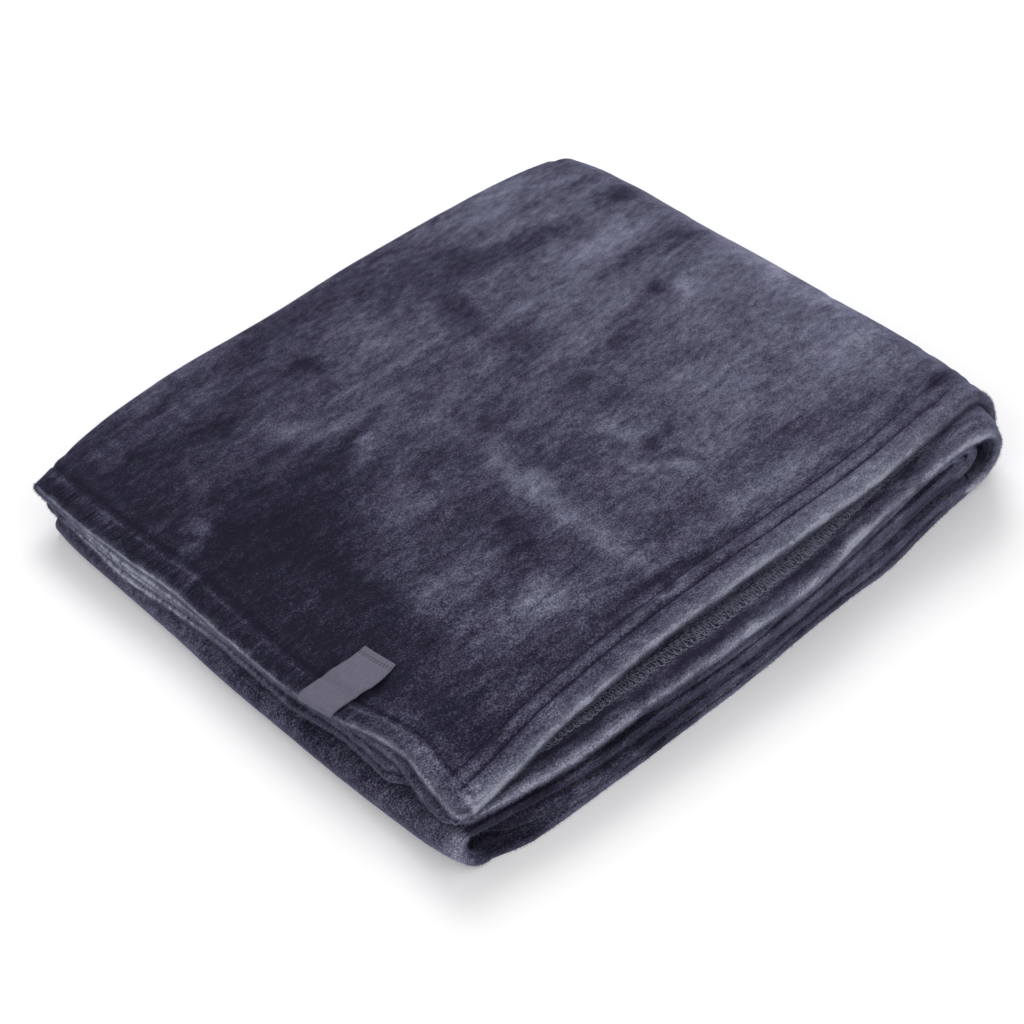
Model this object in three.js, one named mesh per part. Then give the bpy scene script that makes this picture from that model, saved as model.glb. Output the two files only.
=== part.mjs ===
import * as THREE from 'three';

// A plush throw folded once across its width and twice along its length.
// X runs along the long side of the pile, Y across it, Z up, in millimetres.
// The two halves of the width are the plies a (outside) and b (inside), joined by a
// turn on the +Y side. Along its length the pair winds inward through four passes:
// 1 on top, 4 on the floor, 3 above it and 2 under the top.

const CLOTH = 2.6;          // thickness of one ply of plush
const LONG_HEM = 4.6;       // thickness where a long edge is turned back on itself
const END_HEM = 3.7;        // the same at the two ends, pressed flatter
const HEM_WIDTH = 19;       // depth of the turned edge
const HEM_EASE = 4;         // run over which a hem thins to one ply
const AIR = 0.5;            // least air kept between plies
const OPEN_SIDE = [-165, -95];    // y over which the room for long hems fades out
const END_SIDE = [-195, -130];    // x over which the room for end hems fades out

// Stations in y of the columns of PILE, from the open long side to the folded one.
const PILE_Y = { open: -205, inner: -130, near: -60, middle: 30, far: 120, fold: 210 };

// Height of the whole pile, a row per station along the long side.
const PILE = [
  { x: -235, open: 46.0, inner: 47.0, near: 40.0, middle: 38.0, far: 37.0, fold: 36.0 },
  { x: -190, open: 48.0, inner: 48.0, near: 44.0, middle: 42.0, far: 42.0, fold: 40.5 },
  { x: -110, open: 54.0, inner: 50.0, near: 47.5, middle: 47.0, far: 47.5, fold: 47.0 },
  { x: 0, open: 57.5, inner: 54.0, near: 51.5, middle: 51.0, far: 52.0, fold: 51.0 },
  { x: 110, open: 61.0, inner: 59.0, near: 57.5, middle: 57.0, far: 57.0, fold: 55.5 },
  { x: 200, open: 65.0, inner: 64.5, near: 64.0, middle: 63.5, far: 62.5, fold: 60.5 },
  { x: 260, open: 66.0, inner: 66.0, near: 65.5, middle: 65.0, far: 63.5, fold: 61.5 },
];

// Plies from the floor up.
const PLIES = ['a4', 'b4', 'b3', 'a3', 'a2', 'b2', 'b1', 'a1'];

// Share of the spare height left above each ply, a row per station along the pile.
const SPARE = [
  { x: -235, a4: 0.12, b4: 0.20, b3: 0.14, a3: 0.16, a2: 0.10, b2: 0.16, b1: 0.12 },
  { x: 0, a4: 0.13, b4: 0.15, b3: 0.14, a3: 0.15, a2: 0.13, b2: 0.15, b1: 0.15 },
  { x: 240, a4: 0.06, b4: 0.28, b3: 0.06, a3: 0.30, a2: 0.06, b2: 0.10, b1: 0.14 },
];

// How far the top ply gapes above the next one along the open side.
const MOUTH = [
  { x: -215, lift: 0.0 },
  { x: -150, lift: 4.5 },
  { x: -40, lift: 6.5 },
  { x: 60, lift: 6.0 },
  { x: 150, lift: 3.5 },
  { x: 215, lift: 0.5 },
];
const MOUTH_Y = [-185, -120];

// Beside the set-in corner of pass 2 the plies below rise into the space it leaves.
const INSET = [0, 50];
const INSET_SAG = 0.75;
const INSET_FREED = 7.6;
const INSET_SHARE = { a4: 0.35, b4: 0.65 };

// Where each ply ends in y on the open long side.
const OPEN_EDGE = [
  { x: -235, a1: -191, b1: -190, b2: -132, a2: -134, a3: -192, b3: -189, b4: -192, a4: -195 },
  { x: -200, a1: -186, b1: -195.5, b2: -150, a2: -154, a3: -197, b3: -195, b4: -202, a4: -204 },
  { x: -150, a1: -181, b1: -201, b2: -172, a2: -176, a3: -200, b3: -197, b4: -205, a4: -207 },
  { x: -80, a1: -178, b1: -202.5, b2: -190, a2: -193, a3: -200, b3: -197, b4: -202, a4: -207 },
  { x: 0, a1: -178, b1: -204, b2: -198, a2: -199, a3: -202, b3: -198, b4: -202, a4: -205 },
  { x: 70, a1: -180, b1: -203.5, b2: -199, a2: -196, a3: -200, b3: -197, b4: -199, a4: -201 },
  { x: 140, a1: -181, b1: -196, b2: -193, a2: -190, a3: -195, b3: -192, b4: -197, a4: -200 },
  { x: 200, a1: -179, b1: -194, b2: -190, a2: -187, a3: -190, b3: -188, b4: -193, a4: -195 },
  { x: 240, a1: -176.5, b1: -197, b2: -191, a2: -187, a3: -188, b3: -188, b4: -193, a4: -190 },
];

// Where the turn between plies a and b of each pass lies in y.
const FOLD_EDGE = [
  { x: -235, p1: 195.5, p2: 186.5, p3: 181, p4: 183 },
  { x: -212, p1: 201.5, p2: 193, p3: 190, p4: 190 },
  { x: -180, p1: 208, p2: 200, p3: 196, p4: 198 },
  { x: -110, p1: 210, p2: 205, p3: 202, p4: 205 },
  { x: -30, p1: 207, p2: 202, p3: 204, p4: 206 },
  { x: 55, p1: 207, p2: 204, p3: 202, p4: 205 },
  { x: 135, p1: 202, p2: 200, p3: 199, p4: 201 },
  { x: 200, p1: 194, p2: 192, p3: 193, p4: 194 },
  { x: 240, p1: 185, p2: 185, p3: 186, p4: 187 },
];

// Free ends and rolled ends in x, a row per station across the pile: the hemmed ends of
// passes 1 and 2, the left turn of plies a and b with its lean, the outer right turn of
// both and the inner right turn of both.
const ENDS = [
  { y: -200, a1: -228, b1: -226, b2: -226, a2: -226, la: -228, lb: -212, lean: 7, ra: 247, rb: 238, rib: 219, ria: 208 },
  { y: -186, a1: -225, b1: -228, b2: -226, a2: -226, la: -232, lb: -217, lean: 5, ra: 255, rb: 247, rib: 227, ria: 216 },
  { y: -172, a1: -222, b1: -228, b2: -226, a2: -226, la: -233, lb: -221, lean: 3, ra: 261, rb: 254, rib: 234, ria: 223 },
  { y: -155, a1: -219, b1: -225, b2: -225, a2: -227, la: -233, lb: -224.5, lean: 1, ra: 264, rb: 257, rib: 238, ria: 227 },
  { y: -132, a1: -215, b1: -219, b2: -223, a2: -225, la: -234, lb: -228, lean: 0, ra: 266, rb: 259, rib: 240, ria: 229 },
  { y: -85, a1: -223, b1: -220, b2: -219, a2: -221, la: -235, lb: -230, lean: 0, ra: 265, rb: 259, rib: 241, ria: 230 },
  { y: -40, a1: -227, b1: -224, b2: -222, a2: -225, la: -235, lb: -230, lean: 0, ra: 262, rb: 256, rib: 240, ria: 229 },
  { y: 10, a1: -227, b1: -225, b2: -222, a2: -224, la: -235, lb: -230, lean: 0, ra: 260, rb: 254, rib: 238, ria: 227 },
  { y: 60, a1: -225, b1: -226, b2: -224, a2: -225.5, la: -233, lb: -228, lean: 0, ra: 256, rb: 250, rib: 235, ria: 224 },
  { y: 110, a1: -228, b1: -229, b2: -228, a2: -229.5, la: -232, lb: -227, lean: 0, ra: 254, rb: 248, rib: 233, ria: 222 },
  { y: 160, a1: -230, b1: -229, b2: -227, a2: -227.5, la: -231, lb: -226, lean: 0, ra: 250, rb: 244, rib: 229, ria: 219 },
  { y: 195, a1: -229, b1: -228, b2: -226, a2: -226, la: -227, lb: -222, lean: 0, ra: 241, rb: 235, rib: 222, ria: 212 },
];

// Fractions of the way along a pass and along the width of a ply where sections are cut.
const PASS_STEPS = [0, 0.07, 0.14, 0.22, 0.31, 0.40, 0.50, 0.60, 0.70, 0.80, 0.89, 0.95, 1];
const WIDTH_STEPS = [0, 0.10, 0.19, 0.30, 0.42, 0.54, 0.66, 0.77, 0.87, 0.95, 1];
const OUTER_TURN = 9;       // sections round the outer right turn
const INNER_TURN = 7;       // sections round the inner right turn
const LEFT_TURN = 6;        // sections round the left turn
const WIDTH_TURN = 6;       // sections round the turn between plies a and b
const LIP = 0.8;            // roundness of a hem's edge as a share of half its thickness

// Woven label sewn over the end hem of the top ply.
const LABEL_THICK = 0.8;
const LABEL_COLUMNS = 6;
// Sections down its length: distance in from the hem's edge, height of its underside
// above the cloth there, and the y of its two long sides.
const LABEL_RUN = [
  { in: -2.5, up: -1.9, left: -53.5, right: -81.1 },
  { in: -2.0, up: -0.6, left: -53.4, right: -81.1 },
  { in: -0.6, up: 0.5, left: -53.3, right: -81.0 },
  { in: 3.0, up: 1.0, left: -53.2, right: -81.0 },
  { in: 10.0, up: 1.4, left: -54.0, right: -81.6 },
  { in: 19.0, up: 2.2, left: -55.6, right: -83.0 },
  { in: 28.0, up: 2.7, left: -56.8, right: -84.4 },
  { in: 37.0, up: 1.7, left: -56.2, right: -82.8 },
  { in: 45.0, up: 1.0, left: -55.2, right: -80.6 },
  { in: 50.0, up: 0.8, left: -54.6, right: -79.2 },
];

const PLUSH_COLOUR = 0x44445a;
const LABEL_COLOUR = 0x66636e;

const mix = (a, b, f) => a + (b - a) * f;
const clamp = (v, low, high) => Math.min(high, Math.max(low, v));
const ease = (low, high, v) => {
  const f = clamp((v - low) / (high - low), 0, 1);
  return f * f * (3 - 2 * f);
};

// Smooth curve through the values of one column of a table.
function through(stations, values, at) {
  const last = stations.length - 1;
  const x = clamp(at, stations[0], stations[last]);
  let i = 0;
  while (i < last - 1 && x > stations[i + 1]) {
    i += 1;
  }
  const slope = (k) => {
    const lower = Math.max(k - 1, 0);
    const upper = Math.min(k + 1, last);
    return (values[upper] - values[lower]) / (stations[upper] - stations[lower]);
  };
  const run = stations[i + 1] - stations[i];
  const f = (x - stations[i]) / run;
  const f2 = f * f;
  const f3 = f2 * f;
  return (2 * f3 - 3 * f2 + 1) * values[i] + (f3 - 2 * f2 + f) * run * slope(i)
    + (3 * f2 - 2 * f3) * values[i + 1] + (f3 - f2) * run * slope(i + 1);
}

const column = (rows, by, name, at) => through(
  rows.map((row) => row[by]), rows.map((row) => row[name]), at);

const PILE_COLUMNS = Object.keys(PILE_Y);

function pileHeight(x, y) {
  const values = PILE_COLUMNS.map((name) => column(PILE, 'x', name, x));
  return through(PILE_COLUMNS.map((name) => PILE_Y[name]), values, y);
}

// How far a place lies outside the set-in corner of pass 2, from 0 over it to 1 beside it.
const besideInset = (x, y) => ease(INSET[0], INSET[1], column(OPEN_EDGE, 'x', 'a2', x) - y);

// Height given to a ply in the pile, smooth so that no ply follows another's hem line.
function room(ply, x, y) {
  const openHems = (LONG_HEM - CLOTH) * (1 - ease(OPEN_SIDE[0], OPEN_SIDE[1], y));
  const hemmedEnd = ply[1] === '1' || ply[1] === '2';
  const endHems = hemmedEnd ? (END_HEM - CLOTH) * (1 - ease(END_SIDE[0], END_SIDE[1], x)) : 0;
  const full = CLOTH + AIR + Math.max(openHems, endHems);
  return ply[1] === '2' ? full * (1 - INSET_SAG * besideInset(x, y)) : full;
}

const mouth = (x, y) => column(MOUTH, 'x', 'lift', x) * (1 - ease(MOUTH_Y[0], MOUTH_Y[1], y));

// Height of the middle of a ply above the floor.
function plyHeight(ply, x, y, thickness) {
  if (ply === 'a4') {
    return thickness / 2;
  }
  const gape = mouth(x, y);
  const rooms = PLIES.map((name) => room(name, x, y));
  const freed = INSET_FREED * besideInset(x, y);
  const spare = pileHeight(x, y) - gape - freed - rooms.reduce((sum, value) => sum + value, 0);
  let z = 0;
  for (let i = 0; PLIES[i] !== ply; i += 1) {
    z += rooms[i] + spare * column(SPARE, 'x', PLIES[i], x);
    if (PLIES[i] === 'b1') {
      z += gape;
    }
    if (PLIES[i] === 'a4' || PLIES[i] === 'b4') {
      z += freed * INSET_SHARE[PLIES[i]];
    }
  }
  return z + room(ply, x, y) / 2;
}

const endOf = (name, y) => column(ENDS, 'y', name, y);

// The winding path cut into sections: passes 1, 4, 3 and 2 with the turns between them.
function pathStations() {
  const stations = [];
  const addPass = (pass, steps, firstHem, lastHem) => {
    steps.forEach((f) => stations.push({ kind: 'pass', pass, f }));
    if (firstHem) {
      const hem = [{ hemAt: HEM_WIDTH }, { hemAt: HEM_WIDTH + HEM_EASE }];
      stations.splice(1, 1, ...hem.map((row) => ({ kind: 'pass', pass, f: 0, ...row })));
    }
    if (lastHem) {
      const hem = [{ hemAt: HEM_WIDTH + HEM_EASE }, { hemAt: HEM_WIDTH }];
      stations.splice(-2, 1, ...hem.map((row) => ({ kind: 'pass', pass, f: 1, ...row })));
    }
  };
  const addTurn = (turn, sections) => {
    for (let k = 1; k < sections; k += 1) {
      stations.push({ kind: 'turn', turn, f: k / sections });
    }
  };
  addPass('1', PASS_STEPS, true, false);
  addTurn('outer', OUTER_TURN);
  addPass('4', PASS_STEPS, false, false);
  addTurn('left', LEFT_TURN);
  addPass('3', PASS_STEPS, false, false);
  addTurn('inner', INNER_TURN);
  addPass('2', PASS_STEPS.map((f) => 1 - f).reverse(), false, true);
  return stations;
}

// The passes joined by each turn, the column of ENDS for its reach, its direction and how
// much of it keeps the edge lines of the pass it comes from.
const TURNS = {
  outer: { from: '1', to: '4', reach: { a: 'ra', b: 'rb' }, way: 1, hold: 0.35 },
  left: { from: '4', to: '3', reach: { a: 'la', b: 'lb' }, way: -1, hold: 0 },
  inner: { from: '3', to: '2', reach: { a: 'ria', b: 'rib' }, way: 1, hold: 0 },
};

// Centre and radius of a turn of one ply in the section at y.
function turnShape(side, turn, y, thickness) {
  const { from, to, reach, way } = TURNS[turn];
  const limit = endOf(reach[side], y);
  const half = (x) => Math.abs(plyHeight(side + from, x, y, thickness)
    - plyHeight(side + to, x, y, thickness)) / 2;
  const first = half(limit - way * 20);
  const centre = limit - way * (first + thickness / 2);
  const radius = half(centre);
  const lean = turn === 'left' ? endOf('lean', y) * radius / LEAN_HEIGHT : 0;
  return { centre, lean, radius, start: plyHeight(side + from, centre + lean, y, thickness),
    end: plyHeight(side + to, centre - lean, y, thickness) };
}

// The two ends in x of a pass of one ply in the section at y.
function passSpan(side, pass, y, thickness) {
  const turnAt = (turn, way) => {
    const shape = turnShape(side, turn, y, thickness);
    return shape.centre + way * shape.lean;
  };
  switch (pass) {
    case '1': return [endOf(`${side}1`, y), turnAt('outer', 0)];
    case '4': return [turnAt('outer', 0), turnAt('left', 1)];
    case '3': return [turnAt('left', -1), turnAt('inner', 0)];
    default: return [turnAt('inner', 0), endOf(`${side}2`, y)];
  }
}

const LEAN_HEIGHT = 14;     // half height over which a turn leans by the column of ENDS
const NOMINAL = { left: -230, right: 228 };

// Nominal x of a station, used to read the tables that run along the pile.
function nominalX(station) {
  if (station.kind === 'turn') {
    return station.turn === 'left' ? NOMINAL.left : NOMINAL.right + 12;
  }
  const outward = station.pass === '1' || station.pass === '3';
  const f = outward ? station.f : 1 - station.f;
  return mix(NOMINAL.left, NOMINAL.right, f) + (station.hemAt || 0);
}

// Reads a table that runs along the pile, blending from pass to pass round the turns.
function alongPath(station, read) {
  if (station.kind === 'pass') {
    return read(station.pass, nominalX(station));
  }
  const { from, to, hold } = TURNS[station.turn];
  const x = nominalX(station);
  return mix(read(from, x), read(to, x), ease(hold, 1, station.f));
}

// Middle of one ply at a station of the path in the section at y.
function plyPoint(side, station, y, thickness) {
  if (station.kind === 'turn') {
    const { way } = TURNS[station.turn];
    const shape = turnShape(side, station.turn, y, thickness);
    const angle = station.f * Math.PI;
    const middle = (shape.start + shape.end) / 2;
    const half = (shape.start - shape.end) / 2;
    const x = shape.centre + way * shape.radius * Math.sin(angle) + shape.lean * Math.cos(angle);
    return [x, middle + half * Math.cos(angle)];
  }
  const [start, end] = passSpan(side, station.pass, y, thickness);
  let x = mix(start, end, station.f);
  if (station.hemAt) {
    x = (station.f === 0 ? start : end) + station.hemAt;
  }
  return [x, plyHeight(side + station.pass, x, y, thickness)];
}

// Distance of a station from the free end of its pass, for the end hems.
function endDistance(side, station, x, y) {
  if (station.kind === 'pass' && (station.pass === '1' || station.pass === '2')) {
    return x - endOf(side + station.pass, y);
  }
  return Infinity;
}

const turnedBack = (distance) => 1 - ease(HEM_WIDTH, HEM_WIDTH + HEM_EASE, distance);
const thicknessAt = (fromOpen, fromEnd) => CLOTH + Math.max(
  (LONG_HEM - CLOTH) * turnedBack(fromOpen), (END_HEM - CLOTH) * turnedBack(fromEnd));

// Positions across the width: ply b from its hem to the turn, the turn, then ply a back.
function widthStations() {
  const ply = (side) => {
    const rows = WIDTH_STEPS.map((f) => ({ side, f }));
    rows.splice(1, 1, { side, hemAt: HEM_WIDTH, f: 0 }, { side, hemAt: HEM_WIDTH + HEM_EASE, f: 0 });
    return rows;
  };
  const turn = [];
  for (let k = 1; k < WIDTH_TURN; k += 1) {
    turn.push({ side: 'turn', angle: mix(-Math.PI / 2, Math.PI / 2, k / WIDTH_TURN) });
  }
  return [...ply('b'), ...turn, ...ply('a').reverse()];
}

// Middle of the cloth and its thickness at one station of the path and of the width.
function clothPoint(station, across) {
  const foldY = alongPath(station, (pass, x) => column(FOLD_EDGE, 'x', `p${pass}`, x));
  if (across.side === 'turn') {
    const a = plyPoint('a', station, foldY, CLOTH);
    const b = plyPoint('b', station, foldY, CLOTH);
    const reach = Math.hypot(a[0] - b[0], a[1] - b[1]) / 2;
    const lean = Math.sin(across.angle);
    const x = mix(b[0], a[0], (1 + lean) / 2);
    const z = mix(b[1], a[1], (1 + lean) / 2);
    const thickness = thicknessAt(Infinity, endDistance('a', station, x, foldY));
    return { at: [x, foldY + reach * Math.cos(across.angle), z], thickness };
  }
  const edgeY = alongPath(station, (pass, x) => column(OPEN_EDGE, 'x', across.side + pass, x));
  const y = across.hemAt ? edgeY + across.hemAt : mix(edgeY, foldY, across.f);
  const fromOpen = y - edgeY;
  let thickness = thicknessAt(fromOpen, Infinity);
  let [x, z] = plyPoint(across.side, station, y, thickness);
  thickness = thicknessAt(fromOpen, endDistance(across.side, station, x, y));
  [x, z] = plyPoint(across.side, station, y, thickness);
  return { at: [x, y, z], thickness };
}

const vector = (p) => new THREE.Vector3(...p);

// Closed solid from a grid of middle points: both faces, with rounded lips at the edges.
function solidFromGrid(grid) {
  const rows = grid.length;
  const columns = grid[0].length;
  const middle = grid.map((row) => row.map((node) => vector(node.at)));
  const step = (i, j, di, dj) => {
    const i1 = clamp(i + di, 0, rows - 1);
    const j1 = clamp(j + dj, 0, columns - 1);
    const i0 = clamp(i - di, 0, rows - 1);
    const j0 = clamp(j - dj, 0, columns - 1);
    return middle[i1][j1].clone().sub(middle[i0][j0]).normalize();
  };
  const normal = grid.map((row, i) => row.map((node, j) => step(i, j, 1, 0)
    .cross(step(i, j, 0, 1)).normalize()));
  const positions = [];
  const push = (p) => {
    positions.push(p.x, p.y, p.z);
    return positions.length / 3 - 1;
  };
  const face = (way) => grid.map((row, i) => row.map((node, j) => push(
    middle[i][j].clone().addScaledVector(normal[i][j], way * node.thickness / 2))));
  const upper = face(1);
  const lower = face(-1);
  const index = [];
  const quad = (a, b, c, d) => index.push(a, b, c, a, c, d);
  for (let i = 0; i < rows - 1; i += 1) {
    for (let j = 0; j < columns - 1; j += 1) {
      quad(upper[i][j], upper[i + 1][j], upper[i + 1][j + 1], upper[i][j + 1]);
      quad(lower[i][j], lower[i][j + 1], lower[i + 1][j + 1], lower[i + 1][j]);
    }
  }
  const ring = [];
  for (let i = 0; i < rows - 1; i += 1) ring.push([i, 0]);
  for (let j = 0; j < columns - 1; j += 1) ring.push([rows - 1, j]);
  for (let i = rows - 1; i > 0; i -= 1) ring.push([i, columns - 1]);
  for (let j = columns - 1; j > 0; j -= 1) ring.push([0, j]);
  const nose = ring.map(([i, j]) => {
    const out = new THREE.Vector3();
    if (i === 0) out.sub(step(0, j, 1, 0));
    if (i === rows - 1) out.add(step(rows - 1, j, 1, 0));
    if (j === 0) out.sub(step(i, 0, 0, 1));
    if (j === columns - 1) out.add(step(i, columns - 1, 0, 1));
    const reach = LIP * grid[i][j].thickness / 2;
    return push(middle[i][j].clone().addScaledVector(out.normalize(), reach));
  });
  ring.forEach(([i, j], k) => {
    const next = (k + 1) % ring.length;
    const [i1, j1] = ring[next];
    quad(upper[i][j], nose[k], nose[next], upper[i1][j1]);
    quad(nose[k], lower[i][j], lower[i1][j1], nose[next]);
  });
  const geometry = new THREE.BufferGeometry();
  geometry.setAttribute('position', new THREE.Float32BufferAttribute(positions, 3));
  geometry.setIndex(index);
  return geometry;
}

function blanketGeometry() {
  const across = widthStations();
  return solidFromGrid(pathStations().map((station) => across.map(
    (place) => clothPoint(station, place))));
}

// Top of the cloth under the label, hem included.
function topSurface(x, y) {
  const fromEnd = x - endOf('a1', y);
  const thickness = thicknessAt(Infinity, fromEnd);
  return plyHeight('a1', x, y, thickness) + thickness / 2;
}

function labelGeometry() {
  const rows = LABEL_RUN.map((row) => {
    const nodes = [];
    for (let k = 0; k <= LABEL_COLUMNS; k += 1) {
      const y = mix(row.left, row.right, k / LABEL_COLUMNS);
      const edge = endOf('a1', y);
      const z = topSurface(edge + Math.max(row.in, 0), y) + row.up + LABEL_THICK / 2;
      nodes.push({ at: [edge + row.in, y, z], thickness: LABEL_THICK });
    }
    return nodes;
  });
  return solidFromGrid(rows);
}

function named(name, geometry, colour) {
  geometry.computeVertexNormals();
  const mesh = new THREE.Mesh(geometry, new THREE.MeshStandardMaterial({
    color: colour, roughness: 0.95, metalness: 0 }));
  mesh.name = name;
  return mesh;
}

// Faces out: turns every triangle round if the enclosed volume comes out negative.
function facingOut(geometry) {
  const p = geometry.getAttribute('position');
  const index = geometry.getIndex().array;
  let volume = 0;
  for (let k = 0; k < index.length; k += 3) {
    const [a, b, c] = [0, 1, 2].map((n) => new THREE.Vector3().fromBufferAttribute(p, index[k + n]));
    volume += a.dot(b.cross(c)) / 6;
  }
  if (volume < 0) {
    for (let k = 0; k < index.length; k += 3) {
      [index[k + 1], index[k + 2]] = [index[k + 2], index[k + 1]];
    }
  }
  return geometry;
}

const blanket = facingOut(blanketGeometry());
const label = facingOut(labelGeometry());

// The pile stands with the middle of its outline over the origin.
blanket.computeBoundingBox();
const box = blanket.boundingBox;
const shift = [-(box.min.x + box.max.x) / 2, -(box.min.y + box.max.y) / 2, 0];
blanket.translate(...shift);
label.translate(...shift);

const throwBlanket = new THREE.Group();
throwBlanket.name = 'folded_throw';
throwBlanket.add(named('blanket', blanket, PLUSH_COLOUR));
throwBlanket.add(named('label', label, LABEL_COLOUR));

export default throwBlanket;
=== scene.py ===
import math
import bpy
import numpy as np
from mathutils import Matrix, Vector


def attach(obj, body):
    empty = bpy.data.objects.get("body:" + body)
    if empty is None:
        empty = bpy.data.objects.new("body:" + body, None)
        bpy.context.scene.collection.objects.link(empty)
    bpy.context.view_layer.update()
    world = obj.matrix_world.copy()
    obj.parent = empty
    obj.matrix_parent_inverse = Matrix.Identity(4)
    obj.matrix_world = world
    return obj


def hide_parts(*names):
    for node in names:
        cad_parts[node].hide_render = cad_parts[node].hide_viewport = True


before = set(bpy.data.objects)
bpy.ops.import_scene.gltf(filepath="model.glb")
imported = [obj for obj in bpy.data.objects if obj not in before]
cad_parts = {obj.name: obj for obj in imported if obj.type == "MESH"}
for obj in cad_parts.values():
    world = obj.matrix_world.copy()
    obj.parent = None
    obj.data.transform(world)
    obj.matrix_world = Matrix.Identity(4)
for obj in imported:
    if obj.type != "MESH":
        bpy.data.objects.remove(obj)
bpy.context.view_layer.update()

# A plush throw folded once across its width and wound inward in four passes of its length.
# The tables are in millimetres, X along the long side of the pile and Z up. The plies a
# and b are the outside and inside halves of the width; the passes 1, 4, 3 and 2 follow
# each other along the length.
SHIFT = (-15.210, -2.619, 0.0)    # puts the middle of the pile's outline over the origin


def table(columns, *rows):
    """Rows of numbers as dictionaries by the names of their columns."""
    names = columns.split()
    return [dict(zip(names, row)) for row in rows]


# Thicknesses, the depth of a hem and the least air between plies, and over what stretch
# the room for hems fades out.
CLOTH = 2.6
LONG_HEM = 4.6
END_HEM = 3.7
AIR = 0.5
OPEN_SIDE = (-165.0, -95.0)
END_SIDE = (-195.0, -130.0)
LIP = 0.72
LIP_BLUNT = 2.5

# Height of the top of the pile at places along x, and the y of its columns.
PILE_Y = {"open": -205, "inner": -130, "near": -60, "middle": 30, "far": 120, "fold": 210}
PILE = table(
    "x open inner near middle far fold",
    (-235, 46.0, 47.0, 40.0, 38.0, 37.0, 36.0),
    (-190, 48.0, 48.0, 44.0, 42.0, 42.0, 40.5),
    (-110, 54.0, 50.0, 47.5, 47.0, 47.5, 47.0),
    (0, 57.5, 54.0, 51.5, 51.0, 52.0, 51.0),
    (110, 61.0, 59.0, 57.5, 57.0, 57.0, 55.5),
    (200, 65.0, 64.5, 64.0, 63.5, 62.5, 60.5),
    (260, 66.0, 66.0, 65.5, 65.0, 63.5, 61.5),
)
# The plies from the floor up, and the share of the spare height that is left above each.
PLIES = ["a4", "b4", "b3", "a3", "a2", "b2", "b1", "a1"]
SPARE = table(
    "x a4 b4 b3 a3 a2 b2 b1",
    (-235, 0.12, 0.20, 0.14, 0.16, 0.10, 0.16, 0.12),
    (0, 0.13, 0.15, 0.14, 0.15, 0.13, 0.15, 0.15),
    (240, 0.06, 0.28, 0.06, 0.30, 0.06, 0.17, 0.07),
)
# How far the mouth under the top hem gapes, and the stretch of y over which it closes.
MOUTH = table(
    "x lift",
    (-215, 0.0), (-150, 4.5), (-40, 6.5), (60, 6.0), (150, 3.0), (205, 0.0),
)
MOUTH_Y = (-185.0, -120.0)
# Where pass 2 is set in from the open side: the stretch over which its room gives way, the
# share of room given up, the height that is freed and the plies that take it.
INSET = (0.0, 50.0)
INSET_SAG = 0.75
INSET_FREED = 7.6
INSET_SHARE = {"a4": 0.35, "b4": 0.65}
# y of the open hem of every ply, and of the far fold of every pass.
OPEN_EDGE = table(
    "x a1 b1 b2 a2 a3 b3 b4 a4",
    (-235, -193, -188, -132, -134, -192, -168, -168, -195),
    (-222, -191.5, -190, -139, -141, -193, -184, -188, -199.5),
    (-205, -189.5, -192.5, -148, -152, -194, -188, -196, -203.5),
    (-150, -181.5, -198.5, -172, -176, -200, -197, -203.5, -204.5),
    (-80, -176.5, -200.5, -190, -194, -200, -198, -202.3, -205.3),
    (0, -175.3, -202.5, -198, -200, -202, -200, -203, -204.5),
    (70, -177.5, -202.3, -199, -198, -200, -198, -200, -201),
    (140, -178.7, -195.5, -193, -192, -195, -194, -198, -200),
    (200, -176, -194, -190, -187, -190, -188, -192, -193),
    (240, -174, -197, -191, -187, -188, -188, -193, -190),
)
FOLD_EDGE = table(
    "x p1 p2 p3 p4",
    (-235, 195.5, 186.5, 181, 183),
    (-212, 201.5, 193, 190, 190),
    (-180, 208, 200, 196, 198),
    (-110, 210, 205, 202, 205),
    (-30, 207, 202, 204, 206),
    (55, 207, 204, 202, 205),
    (135, 202, 200, 199, 201),
    (200, 194, 192, 193, 194),
    (240, 185, 185, 186, 187),
)
# x of the hemmed ends, of the left turn (l) and of the outer (r) and inner (ri) right turns
# of the plies a and b, and how far the left turn leans, given for a turn of LEAN_HEIGHT.
ENDS = table(
    "y a1 b1 b2 a2 la lb lean ra rb rib ria",
    (-200, -228, -226, -226, -226, -228, -212, 7, 247, 238, 219, 208),
    (-186, -225, -228, -226, -226, -232, -217, 5, 255, 247, 227, 216),
    (-172, -222, -228, -226, -226, -233, -221, 3, 261, 254, 234, 223),
    (-155, -219, -225, -225, -227, -233, -224.5, 1, 264, 257, 238, 227),
    (-132, -215, -219, -223, -225, -234, -228, 0, 266, 259, 240, 229),
    (-85, -223, -220, -219, -221, -235, -230, 0, 265, 259, 241, 230),
    (-40, -227, -224, -222, -225, -235, -230, 0, 262, 256, 240, 229),
    (10, -227, -225, -222, -224, -235, -230, 0, 260, 254, 238, 227),
    (60, -225, -226, -224, -225.5, -233, -228, 0, 256, 250, 235, 224),
    (110, -228, -229, -228, -229.5, -232, -227, 0, 254, 248, 233, 222),
    (160, -230, -229, -227, -227.5, -231, -226, 0, 250, 244, 229, 219),
    (195, -229, -228, -226, -226, -227, -222, 0, 241, 235, 222, 212),
)
LEAN_HEIGHT = 14.0
# x of the ends by which the tables are read, and how far the right turns lie past them.
NOMINAL_LEFT = -230.0
NOMINAL_RIGHT = 228.0
PAST_RIGHT = 12

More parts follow.
